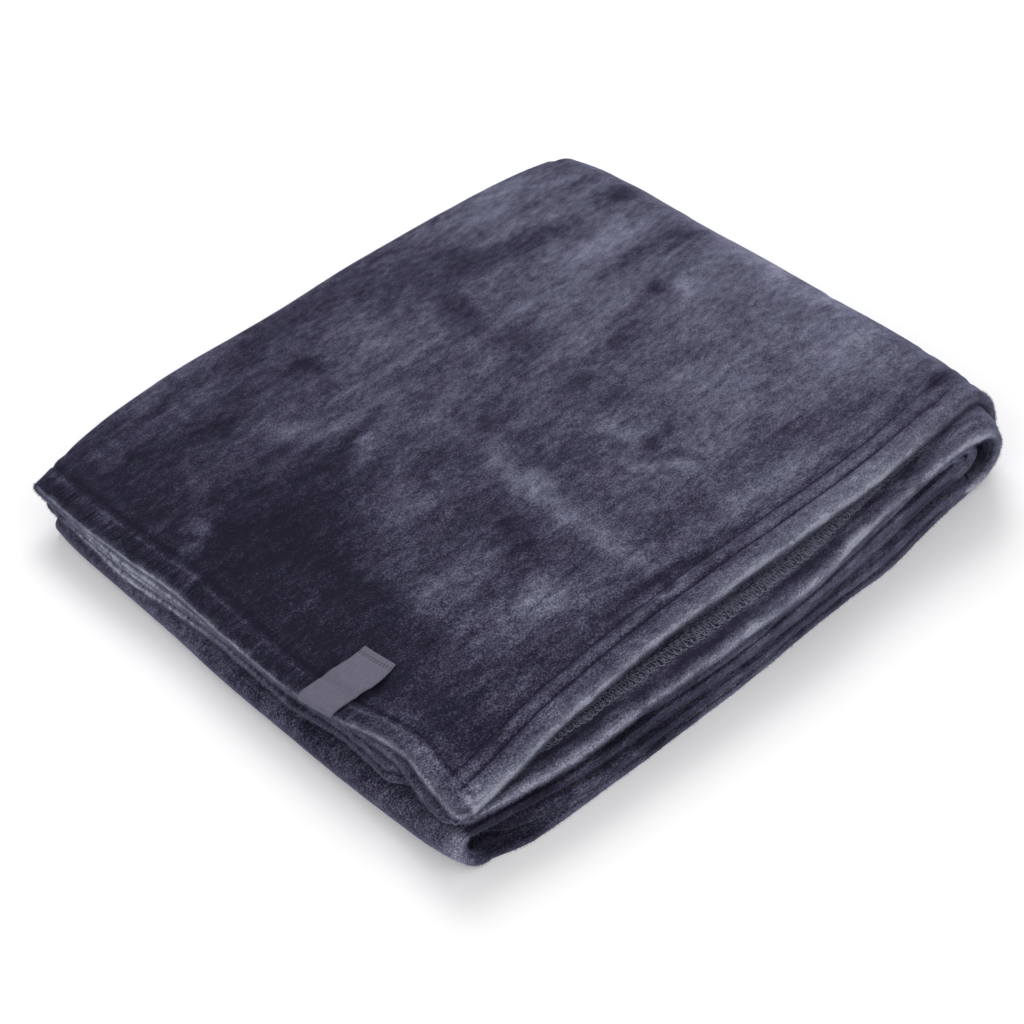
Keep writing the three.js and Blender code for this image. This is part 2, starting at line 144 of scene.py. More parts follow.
# Distances from a hem's edge where sections are cut, steps over the rest of the cloth, and
# numbers of sections round lips and folds. The span is half the width of the flat cloth.
HEM_CUTS = (0, 1.2, 2.8, 5.0, 7.8, 10.4, 12.6, 14.1, 15.0, 15.9, 17.6, 20.2, 23.0, 25.1, 26.0, 26.9, 30.0)
HEM_ZONE = HEM_CUTS[-1]
TOP_STEP = 4.1
FAR_STEP = 13.0
HIDDEN_STEP = 14.95
OUTER_STEP = 5.0
INNER_STEP = 13.0
LIP_SECTIONS = 6
FOLD_SECTIONS = 11
OUTER_TURN = 30
INNER_TURN = 13
SIDE_SPAN = 385.0

# How far up the pile a swell of the top ply is still felt by the plies under it.
CARRY = {"a1": 1.0, "b1": 0.86, "b2": 0.66, "a2": 0.48, "a3": 0.3, "b3": 0.15, "b4": 0.0, "a4": 0.0}


def hermite(f, run, v0, m0, v1, m1):
    """Smooth way over a run from a value and its slope to the next ones."""
    f2 = f * f
    f3 = f2 * f
    return ((2 * f3 - 3 * f2 + 1) * v0 + (f3 - 2 * f2 + f) * run * m0
            + (3 * f2 - 2 * f3) * v1 + (f3 - f2) * run * m1)


class Curve:
    """Smooth curve through stations and values, level beyond both ends."""

    def __init__(self, stations, values):
        self.s = np.array(stations, float)
        self.v = np.array(values, float)
        n = len(self.s)
        low = np.maximum(np.arange(n) - 1, 0)
        high = np.minimum(np.arange(n) + 1, n - 1)
        self.m = (self.v[high] - self.v[low]) / (self.s[high] - self.s[low])

    def __call__(self, at):
        x = np.clip(at, self.s[0], self.s[-1])
        i = np.clip(np.searchsorted(self.s, x, side="left") - 1, 0, len(self.s) - 2)
        run = self.s[i + 1] - self.s[i]
        return hermite((x - self.s[i]) / run, run, self.v[i], self.m[i], self.v[i + 1], self.m[i + 1])


def curves(rows, by):
    names = [name for name in rows[0] if name != by]
    return {name: Curve([r[by] for r in rows], [r[name] for r in rows]) for name in names}


pile_curves = curves(PILE, "x")
spare_curves = curves(SPARE, "x")
mouth_curve = curves(MOUTH, "x")["lift"]
edge_curves = curves(OPEN_EDGE, "x")
fold_curves = curves(FOLD_EDGE, "x")
end_curves = curves(ENDS, "y")


def ease(low, high, v):
    f = np.clip((np.asarray(v) - low) / (high - low), 0.0, 1.0)
    return f * f * (3 - 2 * f)


def mix(a, b, f):
    return a + (b - a) * f


CELLS = 128
lattices = {}


def noise(u, v, seed):
    """Smooth noise between -1 and 1 with cells of 1."""
    if seed not in lattices:
        lattices[seed] = np.random.default_rng(seed).uniform(-1, 1, (CELLS, CELLS))
    cells = lattices[seed]
    u, v = np.broadcast_arrays(np.asarray(u, float), np.asarray(v, float))
    i, j = np.floor(u).astype(int), np.floor(v).astype(int)
    fu, fv = (f * f * f * (f * (f * 6 - 15) + 10) for f in (u - i, v - j))
    a, b, c, d = (cells[(i + m) % CELLS, (j + n) % CELLS] for n in (0, 1) for m in (0, 1))
    return mix(mix(a, b, fu), mix(c, d, fu), fv)


# Soft creases of the top of the pile: from one point to another, half width across and
# height, negative for a trough.
CREASES = table(
    "x0 y0 x1 y1 half up bow",
    (-110, -33, -68, -35, 4.0, -1.1, 0.0), (-68, -35, -52, -12, 4.0, -1.2, 2.0),
    (-15, 35, -13, -90, 10.0, 1.3, 3.0), (-32, -28, -34, -80, 7.0, -0.8, 0.0),
    (56, -50, 74, -84, 4.5, -1.2, 2.0), (48, -58, 62, -96, 5.0, 0.9, 1.0),
    (57, -116, 68, -146, 4.0, 1.1, -2.0), (150, 76, 204, 78, 3.5, -1.2, 1.0),
    (140, 86, 210, 90, 6.0, 0.8, 1.0), (-88, 74, -42, 92, 3.5, -1.0, -2.0),
    (-82, 66, -40, 81, 4.0, 0.9, -2.0), (-100, 98, -30, 100, 4.0, 0.7, 2.0),
    (-135, 116, -95, 107, 3.0, 0.6, 0.0), (-140, 122, -98, 113, 2.6, -0.6, 0.0),
    (-135, 152, -100, 151, 4.0, -0.9, -1.0), (-208, 72, -176, 104, 5.0, 0.9, 2.0),
    (120, 30, 160, 42, 4.0, -0.8, 0.0), (115, 14, 165, 22, 5.0, 0.7, 1.0),
    (172, 25, 192, 48, 5.0, 0.9, 0.0), (-40, -146, 45, -149, 4.0, -0.9, 1.0),
    (60, 128, 72, 100, 7.0, -0.9, 0.0), (212, -165, 256, -150, 2.8, -1.1, 3.0),
    (206, -158, 258, -138, 3.6, 0.9, 3.0), (222, -120, 262, -104, 4.5, -1.0, -3.0),
    (226, -40, 262, -28, 4.0, -0.8, 2.0), (86, 172, 130, 150, 8.0, -0.9, 0.0),
)


def swell(x, y):
    """Rise of the pile's top over its smooth height."""
    rise = 0.55 * noise(x / 62.0, y / 48.0, 11) + 0.3 * noise(x / 27.0, y / 21.0, 12)
    for c in CREASES:
        dx, dy = c["x1"] - c["x0"], c["y1"] - c["y0"]
        length = math.hypot(dx, dy)
        along = ((x - c["x0"]) * dx + (y - c["y0"]) * dy) / length
        across = ((x - c["x0"]) * -dy + (y - c["y0"]) * dx) / length
        bend = c["bow"] * (1 - (2 * along / length - 1) ** 2)
        past = np.maximum(0.0, np.maximum(-along, along - length)) / (2.2 * c["half"])
        rise = rise + c["up"] * np.exp(-((across - bend) / c["half"]) ** 2 - past ** 2)
    return rise


def pile_height(x, y):
    """Smooth height of the whole pile."""
    stations = np.array(list(PILE_Y.values()), float)
    values = np.array([np.broadcast_to(pile_curves[name](x), np.shape(y)) for name in PILE_Y])
    n = len(stations)
    at = np.clip(y, stations[0], stations[-1])
    i = np.clip(np.searchsorted(stations, at, side="left") - 1, 0, n - 2)
    k = np.arange(np.size(at))

    def slope(j):
        low = np.maximum(j - 1, 0)
        high = np.minimum(j + 1, n - 1)
        return (values[high, k] - values[low, k]) / (stations[high] - stations[low])

    run = stations[i + 1] - stations[i]
    return hermite((at - stations[i]) / run, run, values[i, k], slope(i), values[i + 1, k], slope(i + 1))


def slots(x, y):
    """Floor, height and spare height of the slot of every ply in the pile."""
    beside = ease(*INSET, edge_curves["a2"](x) - y)
    gape = mouth_curve(x) * (1 - ease(*MOUTH_Y, y))
    open_hems = (LONG_HEM - CLOTH) * (1 - ease(*OPEN_SIDE, y))
    end_hems = (END_HEM - CLOTH) * (1 - ease(*END_SIDE, x))
    rooms = {}
    for name in PLIES:
        full = CLOTH + AIR + np.maximum(open_hems, end_hems if name[1] in "12" else 0.0)
        rooms[name] = full * (1 - INSET_SAG * beside) if name[1] == "2" else full
    freed = INSET_FREED * beside
    spare = pile_height(x, y) - gape - freed - sum(rooms.values())
    z = 0.0 * x
    out = {}
    for name in PLIES:
        above = spare * spare_curves[name](x) if name != "a1" else 0.0 * x
        if name == "b1":
            above = above + gape
        if name in INSET_SHARE:
            above = above + freed * INSET_SHARE[name]
        out[name] = (z, rooms[name], above)
        z = z + rooms[name] + above
    return out


def ply_height(ply, x, y, thickness):
    """Height of the middle of a ply above the floor."""
    if ply == "a4":
        return thickness / 2 + 0 * x
    low, room, _ = slots(x, y)[ply]
    return low + room / 2 + CARRY[ply] * swell(x, y)


# The turns from pass to pass: their reach in the table of ends, 1 for the right end and -1
# for the left, and the share of the turn before the next pass is felt.
TURNS = {
    "outer": {"from": "1", "to": "4", "reach": {"a": "ra", "b": "rb"}, "way": 1, "hold": 0.35},
    "left": {"from": "4", "to": "3", "reach": {"a": "la", "b": "lb"}, "way": -1, "hold": 0.0},
    "inner": {"from": "3", "to": "2", "reach": {"a": "ria", "b": "rib"}, "way": 1, "hold": 0.0},
}


def turn_shape(side, turn, y, thickness):
    """Centre, radius, lean and the heights at both ends of a turn."""
    t = TURNS[turn]
    limit = end_curves[t["reach"][side]](y)

    def half(x):
        return np.abs(ply_height(side + t["from"], x, y, thickness)
                      - ply_height(side + t["to"], x, y, thickness)) / 2

    centre = limit - t["way"] * (half(limit - t["way"] * 20) + thickness / 2)
    radius = half(centre)
    lean = end_curves["lean"](y) * radius / LEAN_HEIGHT if turn == "left" else 0 * radius
    start = ply_height(side + t["from"], centre + lean, y, thickness)
    end = ply_height(side + t["to"], centre - lean, y, thickness)
    return centre, radius, lean, start, end


def pass_span(side, number, y, thickness):
    """x of both ends of a pass."""
    def at(turn, way):
        centre, _, lean, _, _ = turn_shape(side, turn, y, thickness)
        return centre + way * lean

    if number == "1":
        return end_curves[side + "1"](y), at("outer", 0)
    if number == "4":
        return at("outer", 0), at("left", 1)
    if number == "3":
        return at("left", -1), at("inner", 0)
    return at("inner", 0), end_curves[side + "2"](y)


def path_stations():
    """Sections along the winding path, each with the number of its pass or the pass before its turn.

    d is a distance from a hem, f a share of the rest of the pass or of the turn."""
    out = []
    span = NOMINAL_RIGHT - NOMINAL_LEFT

    def rest(number, step, first, last):
        n = max(2, round((span - HEM_ZONE) / step))
        out.extend(dict(number=number, f=k / n) for k in range(first, n + 1 - last))

    def turn(name, n):
        out.extend(dict(number=TURNS[name]["from"], turn=name, f=k / n) for k in range(1, n))

    out.extend(dict(number="1", d=d) for d in HEM_CUTS)
    rest("1", TOP_STEP, True, False)
    turn("outer", OUTER_TURN)
    rest("4", FAR_STEP, False, False)
    turn("left", INNER_TURN)
    rest("3", HIDDEN_STEP, False, False)
    turn("inner", INNER_TURN)
    rest("2", HIDDEN_STEP, False, True)
    out.extend(dict(number="2", d=d) for d in reversed(HEM_CUTS))
    return out


def nominal_x(station):
    """x at which the tables are read for a section."""
    if "turn" in station:
        return NOMINAL_LEFT if station["turn"] == "left" else NOMINAL_RIGHT + PAST_RIGHT
    if "d" in station:
        return NOMINAL_LEFT + station["d"]
    outward = station["number"] in "13"
    f = station["f"] if outward else 1 - station["f"]
    inner = NOMINAL_LEFT + (HEM_ZONE if station["number"] in "12" else 0)
    return mix(inner, NOMINAL_RIGHT, f)


def along_path(station, read):
    """A value of a pass and an x read for a section, going over to the next pass in a turn."""
    x = nominal_x(station)
    value = read(station["number"], x)
    if "turn" not in station:
        return value
    t = TURNS[station["turn"]]
    return mix(value, read(t["to"], x), float(ease(t["hold"], 1.0, station["f"])))


def ply_point(side, station, y, thickness):
    """x and z of the middle of a ply along the section at y."""
    if "turn" in station:
        way = TURNS[station["turn"]]["way"]
        centre, radius, lean, start, end = turn_shape(side, station["turn"], y, thickness)
        angle = station["f"] * math.pi
        x = centre + way * radius * math.sin(angle) + lean * math.cos(angle)
        return x, (start + end) / 2 + (start - end) / 2 * math.cos(angle)
    number = station["number"]
    start, end = pass_span(side, number, y, thickness)
    if "d" in station:
        edge = start if number == "1" else end
        x = edge + station["d"] + end_wave(side + number, y) * math.exp(-station["d"] / WAVE_FADE)
    else:
        hems = {"1": (HEM_ZONE, 0), "2": (0, HEM_ZONE)}.get(number, (0, 0))
        x = mix(start + hems[0], end + hems[1], station["f"])
    return x, ply_height(side + number, x, y, thickness)


def ply_seed(name):
    return 40 + PLIES.index(name)


def end_wave(ply, y):
    """Unevenness of an end hem's edge."""
    return 0.5 * noise(y / 23.0, 0.3, ply_seed(ply)) + 0.25 * noise(y / 8.5, 5.3, ply_seed(ply))


def edge_wave(ply, x):
    """Unevenness of a long hem's edge."""
    return 0.7 * noise(x / 34.0, 9.3, ply_seed(ply)) + 0.3 * noise(x / 11.0, 2.3, ply_seed(ply))


# Fullness of the roll at a hem's edge, how far it droops, how deep its sewing sinks, and
# the painted highlight on the pile where the edge turns over.
ROLLS = {row["ply"]: row for row in table(
    "ply full slim rise droop sink light lip blunt",
    ("a1", 2.5, 0.2, -0.1, 0.2, 1.5, 0.9, 0.62, 2.4),
    ("b1", 2.6, 0.7, 0.5, 0.2, 1.2, 0.85, 0.78, 2.3),
    ("b2", 4.5, 0.7, 0.5, 0.0, 0.9, 0.2, 0.4, 5.0),
    ("a2", 4.5, 0.7, 0.5, 0.0, 0.9, 0.1, 0.3, 6.0),
    ("a3", 4.5, 0.7, 0.5, 0.0, 0.6, 0.0, 0.3, 6.0),
    ("b3", 4.5, 0.7, 0.5, 0.0, 0.6, 0.0, 0.3, 6.0),
    ("b4", 4.5, 0.7, 0.5, 0.0, 0.6, 0.0, 0.3, 6.0),
    ("a4", 2.0, 0.7, 0.5, 0.0, 0.6, 0.1, 0.4, 4.5),
)}
# Along the left end: where the sewing lies, and the painted highlight on the gathered ends under the top.
LEFT_END = table(
    "y seam ends drawn lit",
    (-190, 14.0, 0.1, 0.1, 0.5), (-130, 14.0, 0.15, 0.3, 0.55),
    (-60, 16.0, 0.2, 0.6, 0.8), (0, 18.5, 0.4, 0.7, 1.15),
    (60, 19.0, 0.7, 0.7, 1.1), (105, 19.0, 1.25, 0.9, 1.2),
    (150, 19.0, 0.8, 0.9, 1.0), (195, 18.0, 0.3, 0.4, 0.8),
)
# Rounding of a hem's corners, fade of its uneven edge, its flat and fade of roll, its first
# seam and the second line of sewing past it.
CORNER_ROUND = 10.0
WAVE_FADE = 14.0
ROLL_FLAT = 2.5
ROLL_FADE = 6.0
LONG_SEAM = 15.0
LINE_GAP = 11.0
GROOVE = 1.3
left_curves = curves(LEFT_END, "y")


def bell(v, centre, half):
    return np.exp(-((v - centre) / half) ** 2)


def front_corner(y):
    """Share of the left end that belongs to its corner on the open side."""
    return 1 - ease(-150, -100, y)


def roll_shape(distance):
    return np.exp(-(np.maximum(distance - ROLL_FLAT, 0) / ROLL_FADE) ** 2)


def pucker(along, seed):
    """Gathers that the sewing pulls into a hem, across its edge."""
    return 0.6 * noise(along / 4.6, 0.5, seed) + 0.4 * noise(along / 9.5, 4.5, seed)


def hem_profile(distance, hem, full, sink, seam, seed, along, gather):
    """Added thickness of a turned edge: a full roll, a flat, two sewn lines."""
    pull = 1 + 0.5 * gather * pucker(along, seed) + 0.4 * noise(along / 21.0, 3.5, seed)
    fat = 1 + 0.22 * noise(along / 26.0, 7.5, seed) + 0.12 * noise(along / 9.0, 1.5, seed)
    band = (hem - CLOTH) * (1 - ease(seam + 4, seam + 12, distance))
    roll = full * fat * roll_shape(distance)
    groove = -sink * pull * bell(distance, seam, GROOVE)
    second = (-0.45 * sink * bell(distance, seam + LINE_GAP, GROOVE)
              + 0.5 * bell(distance, seam + LINE_GAP / 2, 3.0))
    return band + roll + groove + second + 0.5 * gather * pucker(along, seed) * bell(distance, 8.0, 6.0)


def thickness_at(ply, from_open, from_end, x, y):
    """Thickness of a ply and how far its middle is moved up by the fullness of its hem."""
    seed = ply_seed(ply)
    r = ROLLS[ply]
    above = np.maximum(slots(x, y)[ply][2] - 0.05, 0.0) if ply != "a1" else 9.0
    full = np.minimum(r["full"], above)
    long_side = hem_profile(from_open, LONG_HEM, full, r["sink"], LONG_SEAM, seed, x, 0.3)
    slim = full * mix(r["slim"], 1.0, front_corner(y))
    end_side = hem_profile(from_end, END_HEM, slim, r["sink"], left_curves["seam"](y), seed + 20, y, 0.0)
    both = ease(32, 16, from_open) * ease(32, 16, from_end)
    added = mix(np.where(from_open < from_end, long_side, end_side), np.maximum(long_side, end_side), both)
    near = np.minimum(from_open, from_end)
    roll = np.where(from_open < from_end, full, slim) * roll_shape(near)
    drop = r["droop"] * np.exp(-(near / 5.0) ** 2)
    closed = 0.35 * (1 - ease(3.0, 9.0, from_open))
    swollen = 3.4 * ease(185, 222, x) * bell(from_open, 10.5, 6.5) if ply == "b1" else 0.0
    return CLOTH + added + closed + swollen, roll * r["rise"] - drop + swollen / 2


def painted_roll_highlight(ply, x):
    """Painted highlight on a long hem's roll, uneven along it."""
    seed = ply_seed(ply)
    return ROLLS[ply]["light"] * (1 + 0.4 * noise(x / 31.0, 8.5, seed) + 0.35 * noise(x / 9.0, 6.5, seed))


def hem_light_and_patches(ply, from_open, from_end, x, y):
    """Painted light and shade on and beside a hem, with random patches: highlights on rolls, ends and
    ridges, shade along sewn lines, under lips and in hollows.
    """
    seed = ply_seed(ply)
    lit = painted_roll_highlight(ply, x)
    end = left_turn_shading = 0.0
    if ply[1] in "12":
        seam = left_curves["seam"](y)
        if ply == "a1":
            front = front_corner(y)
            ragged = 1 + 0.6 * noise(y / 7.0, 3.1, seed) + 0.4 * noise(y / 19.0, 5.7, seed)
            # Painted highlight on the end's edge and front corner, painted shade behind it, a painted
            # highlight on the ridge before the sewing and a painted shadow just past it.
            end = (0.2 * bell(from_end, 0, 1.2) + 0.36 * front * bell(from_end, 4.0, 8.0)
                   - 0.2 * (1 - front) * bell(from_end, 6.0, 3.5)
                   + 0.26 * ragged * bell(from_end, seam - 4.6, 1.2) - 0.3 * bell(from_end, seam + 0.5, 1.8))
        else:
            # Painted highlight on the gathered ends of the plies under the top.
            end = left_curves["ends"](y) * 0.8 * bell(from_end, 0, 8.0)
    if ply == "a1":
        # On the top ply's long hem: a painted highlight at its front corner and on its roll, and painted
        # shade along its two sewn lines.
        corner = 0.46 * bell(x, -214, 32) * bell(y, -182, 24)
        crisp = 1 - 0.6 * ease(150, 215, x)
        side = (0.62 * (1 - 0.8 * ease(160, 215, x)) * lit * bell(from_open, 0, 3.2)
                + 0.26 * bell(from_open, 6.0, 7.0) + corner
                - 0.62 * crisp * bell(from_open, LONG_SEAM, 0.75)
                + 0.18 * bell(from_open, LONG_SEAM + 5.0, 3.0)
                - 0.5 * crisp * bell(from_open, LONG_SEAM + LINE_GAP, 0.75))
    elif ply == "b1":
        # On the second ply: a painted highlight on its lip, painted fold shadows under it that fade and turn
        # lighter where the hem rolls into the right end, and a lighter band further in.
        rolled = ease(150, 205, x)
        fold_shade = 1 - 1.15 * np.maximum(noise(x / 21.0, from_open / 6.0, 97), -0.5)
        side = (0.55 * lit * (1 - 0.6 * ease(215, 242, x)) * bell(from_open, 0, 2.4)
                - 0.4 * fold_shade * (1 - 1.5 * rolled) * bell(from_open, 9.0, 4.5)
                + 0.2 * bell(from_open, 27, 11))
    else:
        # On the lower plies: a painted highlight on the lip with random patches, darker towards the left end
        # and around x -128, and painted shade further in under the plies above.
        rank = PLIES.index(ply)
        patch = 0.28 * noise(x / 24.0, rank * 0.45, 91) + 0.22 * noise(x / 9.0, rank * 0.8, 92) + 0.09
        if ply in ("a2", "a3", "b3"):
            patch = patch - 0.35 * (1 - ease(-165, -110, x))
        if ply in ("b3", "b4", "a4"):
            patch = patch - 0.34 * bell(x, -128, 42)
        side = (lit + patch) * bell(from_open, 0, 6.0) - 0.25 * ease(4, 12, from_open)
    # Painted light on the outside of the left turn and painted shade in the hollow of the inner plies there.
    if ply in ("a3", "a4"):
        left_turn_shading = (0.3 + 0.2 * (1 - ease(-200, -150, y))) * (1 - ease(-226, -206, x))
    if ply in ("b3", "b4"):
        left_turn_shading = -1.0 * (1 - ease(-205, -185, x))
    return end + left_turn_shading + side * ease(6, 14, from_end)


def painted_rim_highlight(ply, from_open, from_end, x, y):
    """Painted highlight round the lip of a hem's edge, over the tone of its upper face."""
    side = 0.6 * painted_roll_highlight(ply, x) if ply in ("a1", "b1") else 0.0 * x
    if ply == "a1":
        side = side * (1 - 0.75 * ease(110, 190, x)) * (1 - 0.45 * (1 - ease(-225, -190, x)))
    if ply == "b1":
        side = side * (1 - 0.7 * ease(205, 240, x))
    if ply[1] not in "12":
        return side
    end = left_curves["lit"](y) if ply == "a1" else 0.25 * left_curves["ends"](y)
    return np.where(from_open < from_end, side, 0.8 * end * (1 + 0.4 * noise(y / 9.0, 6.5, ply_seed(ply))))


def lip_light_and_shade(tone, rim, turn):
    """Painted light and shade at a turn round a lip, 0 at its top and pi at its bottom, from the tone of its
    upper face: a painted highlight over the top, painted shade underneath.
    """
    below = ease(0.34 * np.pi, 0.72 * np.pi, turn)
    lit = tone + rim * ease(0.0, 0.3 * np.pi, turn)
    return mix(lit, np.minimum(0.15 * lit, lit) - 0.1, below)


def gather_share(ply, from_end, y):
    """Where the sewing of an end hem draws the cloth into fine gathers."""
    if ply[1] not in "12":
        return 0 * y
    if ply == "a1":
        return 0.85 * left_curves["drawn"](y) * bell(from_end, left_curves["seam"](y) - 9.5, 6.0)
    return 1.2 * left_curves["ends"](y) * bell(from_end, 0, 9.0)


def corner_pull(mine, other):
    """How far a hem's corner is drawn in along one side, as a share of its rounding."""
    u = np.clip(1 - mine / CORNER_ROUND, 0.0, 1.0)
    v = np.clip(1 - other / CORNER_ROUND, 0.0, 1.0)
    return u * (1 - np.sqrt(1 - v * v / 2))


def ply_section(side, station, count):
    """One ply across the pile at a station of the path, from its open hem to the far fold."""
    ply = side + station["number"]
    edge = float(along_path(station, lambda p, x: edge_curves[side + p](x)))
    fold = float(along_path(station, lambda p, x: fold_curves["p" + p](x)))
    rest = mix(edge + HEM_ZONE, fold, np.arange(1, count + 1) / count)
    y = np.concatenate([edge + np.array(HEM_CUTS), rest])
    from_open = y - edge
    x, _ = ply_point(side, station, y, np.full(y.shape, CLOTH))
    y = y + edge_wave(ply, x) * np.exp(-from_open / WAVE_FADE)
    hemmed = "turn" not in station and station["number"] in "12"
    from_end = x - end_curves[ply](y) if hemmed else np.full(y.shape, 1e3)
    thick, lift = thickness_at(ply, from_open, from_end, x, y)
    if hemmed:
        y = y + CORNER_ROUND * corner_pull(from_open, from_end)
    x, z = ply_point(side, station, y, thick)
    if hemmed:
        x = x + CORNER_ROUND * corner_pull(from_end, from_open)
    if ply != "a4":
        turn = math.pi * station["f"] if "turn" in station else 0.0
        z = z + lift * math.cos(turn)
        if ply == "b1":
            x = x + lift * math.sin(turn)
    return dict(mid=np.stack([x, y, z], -1), thick=thick, tone=hem_light_and_patches(ply, from_open, from_end, x, y),
                gather=gather_share(ply, from_end, y), rim=painted_rim_highlight(ply, from_open, from_end, x, y))


def cloth_grid():
    """The folded cloth as rows along its winding path: middle points, thickness, lips and tones."""
    path = path_stations()
    hem = len(HEM_CUTS)
    inner = round((SIDE_SPAN - HEM_ZONE) / INNER_STEP)
    outer = round((SIDE_SPAN - HEM_ZONE) / OUTER_STEP)
    first = hem + inner
    last = first + FOLD_SECTIONS - 1 + outer + hem
    shape = (len(path), last)
    grid = {name: np.zeros(shape) for name in ("thick", "tone", "gather", "rim")}
    grid.update(mid=np.zeros((*shape, 3)), lip=np.full(shape, LIP), blunt=np.full(shape, LIP_BLUNT))
    halves = (("b", inner, slice(0, first)), ("a", outer, slice(last - 1, last - 1 - hem - outer, -1)))
    for i, station in enumerate(path):
        ends = []
        for side, count, place in halves:
            section = ply_section(side, station, count)
            for name, values in section.items():
                grid[name][i, place] = values
            for name in ("lip", "blunt"):
                grid[name][i, place.start] = along_path(station, lambda p, x: ROLLS[side + p][name])
            ends.append((section["mid"][-1], section["thick"][-1]))
        (b, thick_b), (a, thick_a) = ends
        reach = math.hypot(a[0] - b[0], a[2] - b[2]) / 2
        for k in range(1, FOLD_SECTIONS):
            angle = mix(-math.pi / 2, math.pi / 2, k / FOLD_SECTIONS)
            lean = (1 + math.sin(angle)) / 2
            p = mix(b, a, lean)
            grid["mid"][i, first - 1 + k] = (p[0], p[1] + reach * math.cos(angle), p[2])
            grid["thick"][i, first - 1 + k] = mix(thick_b, thick_a, lean)
    along = [steps(grid["mid"], axis) for axis in (0, 1)]
    grid.update(path=path, inside=first, along0=along[0], along1=along[1], normal=unit(np.cross(*along)))
    return grid


def unit(v):
    return v / np.maximum(np.linalg.norm(v, axis=-1, keepdims=True), 1e-9)


def add_object(name, data):
    obj = bpy.data.objects.new(name, data)
    bpy.context.scene.collection.objects.link(obj)
    return obj


def add_mesh(name, points, faces):
    """A smooth mesh in the frame's metres, from points in millimetres."""
    mesh = bpy.data.meshes.new(name)
    mesh.from_pydata(((points + np.array(SHIFT)) / 1000).tolist(), [], faces)
    mesh.polygons.foreach_set("use_smooth", [True] * len(mesh.polygons))
    return add_object(name, mesh)


def steps(mid, axis):
    """Direction from neighbour to neighbour along one side of a grid."""
    pad = np.concatenate([np.take(mid, [0], axis), mid, np.take(mid, [-1], axis)], axis)
    n = mid.shape[axis]
    return unit(np.take(pad, range(2, n + 2), axis) - np.take(pad, range(0, n), axis))


def lengths(line):
    """Distance along a line of points up to each of them."""
    return np.concatenate([[0], np.cumsum(np.linalg.norm(np.diff(line, axis=0), axis=1))])


def upward(normal, i, j):
    """Whether the first face of a grid is the upper one at a place on its border."""
    row = min(i, 5) if j in (0, normal.shape[1] - 1) else i
    return normal[row, j, 2] >= 0


def solid_mesh(name, mid, thick, s, t, attributes, lip, blunt, sections=LIP_SECTIONS, rim=None):
    """Closed mesh round a grid of middle points, with rounded lips and coordinates s, t of the sheet."""
    rows, cols = thick.shape
    lip = np.broadcast_to(lip, thick.shape)
    power = 2 / np.broadcast_to(blunt, thick.shape)
    normal = unit(np.cross(steps(mid, 0), steps(mid, 1)))
    top = mid + normal * thick[..., None] / 2
    bottom = mid - normal * thick[..., None] / 2
    st = np.stack(np.broadcast_arrays(s[:, None], t[None, :]), -1)
    ids = np.arange(rows * cols).reshape(rows, cols)
    low = ids + rows * cols
    quads = [
        np.stack([ids[:-1, :-1], ids[1:, :-1], ids[1:, 1:], ids[:-1, 1:]], -1).reshape(-1, 4),
        np.stack([low[:-1, :-1], low[:-1, 1:], low[1:, 1:], low[1:, :-1]], -1).reshape(-1, 4),
    ]
    ring = ([(i, 0) for i in range(rows - 1)] + [(rows - 1, j) for j in range(cols - 1)]
            + [(i, cols - 1) for i in range(rows - 1, 0, -1)] + [(0, j) for j in range(cols - 1, 0, -1)])
    along0, along1 = steps(mid, 0), steps(mid, 1)
    extra = []
    loops = []
    for i, j in ring:
        out = along0[i, j] * ((i == rows - 1) - (i == 0)) + along1[i, j] * ((j == cols - 1) - (j == 0))
        out /= np.linalg.norm(out)
        half = thick[i, j] / 2
        loop = [ids[i, j]]
        for k in range(1, sections):
            angle = math.pi * k / sections
            up = math.copysign(abs(math.cos(angle)) ** power[i, j], math.cos(angle))
            loop.append(2 * rows * cols + len(extra))
            extra.append(mid[i, j] + normal[i, j] * half * up
                         + out * lip[i, j] * half * math.sin(angle) ** power[i, j])
        loops.append(loop + [low[i, j]])
    quads.append(np.array([(here[m], here[m + 1], after[m + 1], after[m])
                           for here, after in zip(loops, loops[1:] + loops[:1]) for m in range(sections)]))
    points = np.concatenate([top.reshape(-1, 3), bottom.reshape(-1, 3), np.array(extra)])
    faces = np.concatenate(quads)
    obj = add_mesh(name, points, faces.tolist())
    mesh = obj.data
    if signed_volume(points, faces) < 0:
        mesh.flip_normals()

    def round_lips(values):
        return np.array([values[i, j] for i, j in ring for _ in range(sections - 1)])

    uv = np.concatenate([st.reshape(-1, 2), st.reshape(-1, 2), round_lips(st)])
    corner = np.zeros(len(mesh.loops), int)
    mesh.loops.foreach_get("vertex_index", corner)
    mesh.uv_layers.new(name="sheet").data.foreach_set("uv", (uv[corner] / 1000).astype(np.float32).ravel())
    turns = np.pi * np.arange(1, sections) / sections
    for key, values in attributes.items():
        edge = round_lips(values)
        # Round the lips the painted light runs from a highlight on top to painted shade beneath.
        if key == "crest":
            edge = np.concatenate([
                lip_light_and_shade(values[i, j], rim[i, j], turns if upward(normal, i, j) else np.pi - turns)
                for i, j in ring])
        flat = values.reshape(-1)
        data = mesh.attributes.new(key, "FLOAT", "POINT")
        data.data.foreach_set("value", np.concatenate([flat, flat, edge]).astype(np.float32))
    mesh.update()
    return obj


def signed_volume(points, faces):
    a, b, c, d = (points[faces[:, k]] for k in range(4))
    return (np.einsum("ij,ij->i", a, np.cross(b, c)).sum()
            + np.einsum("ij,ij->i", a, np.cross(c, d)).sum()) / 6
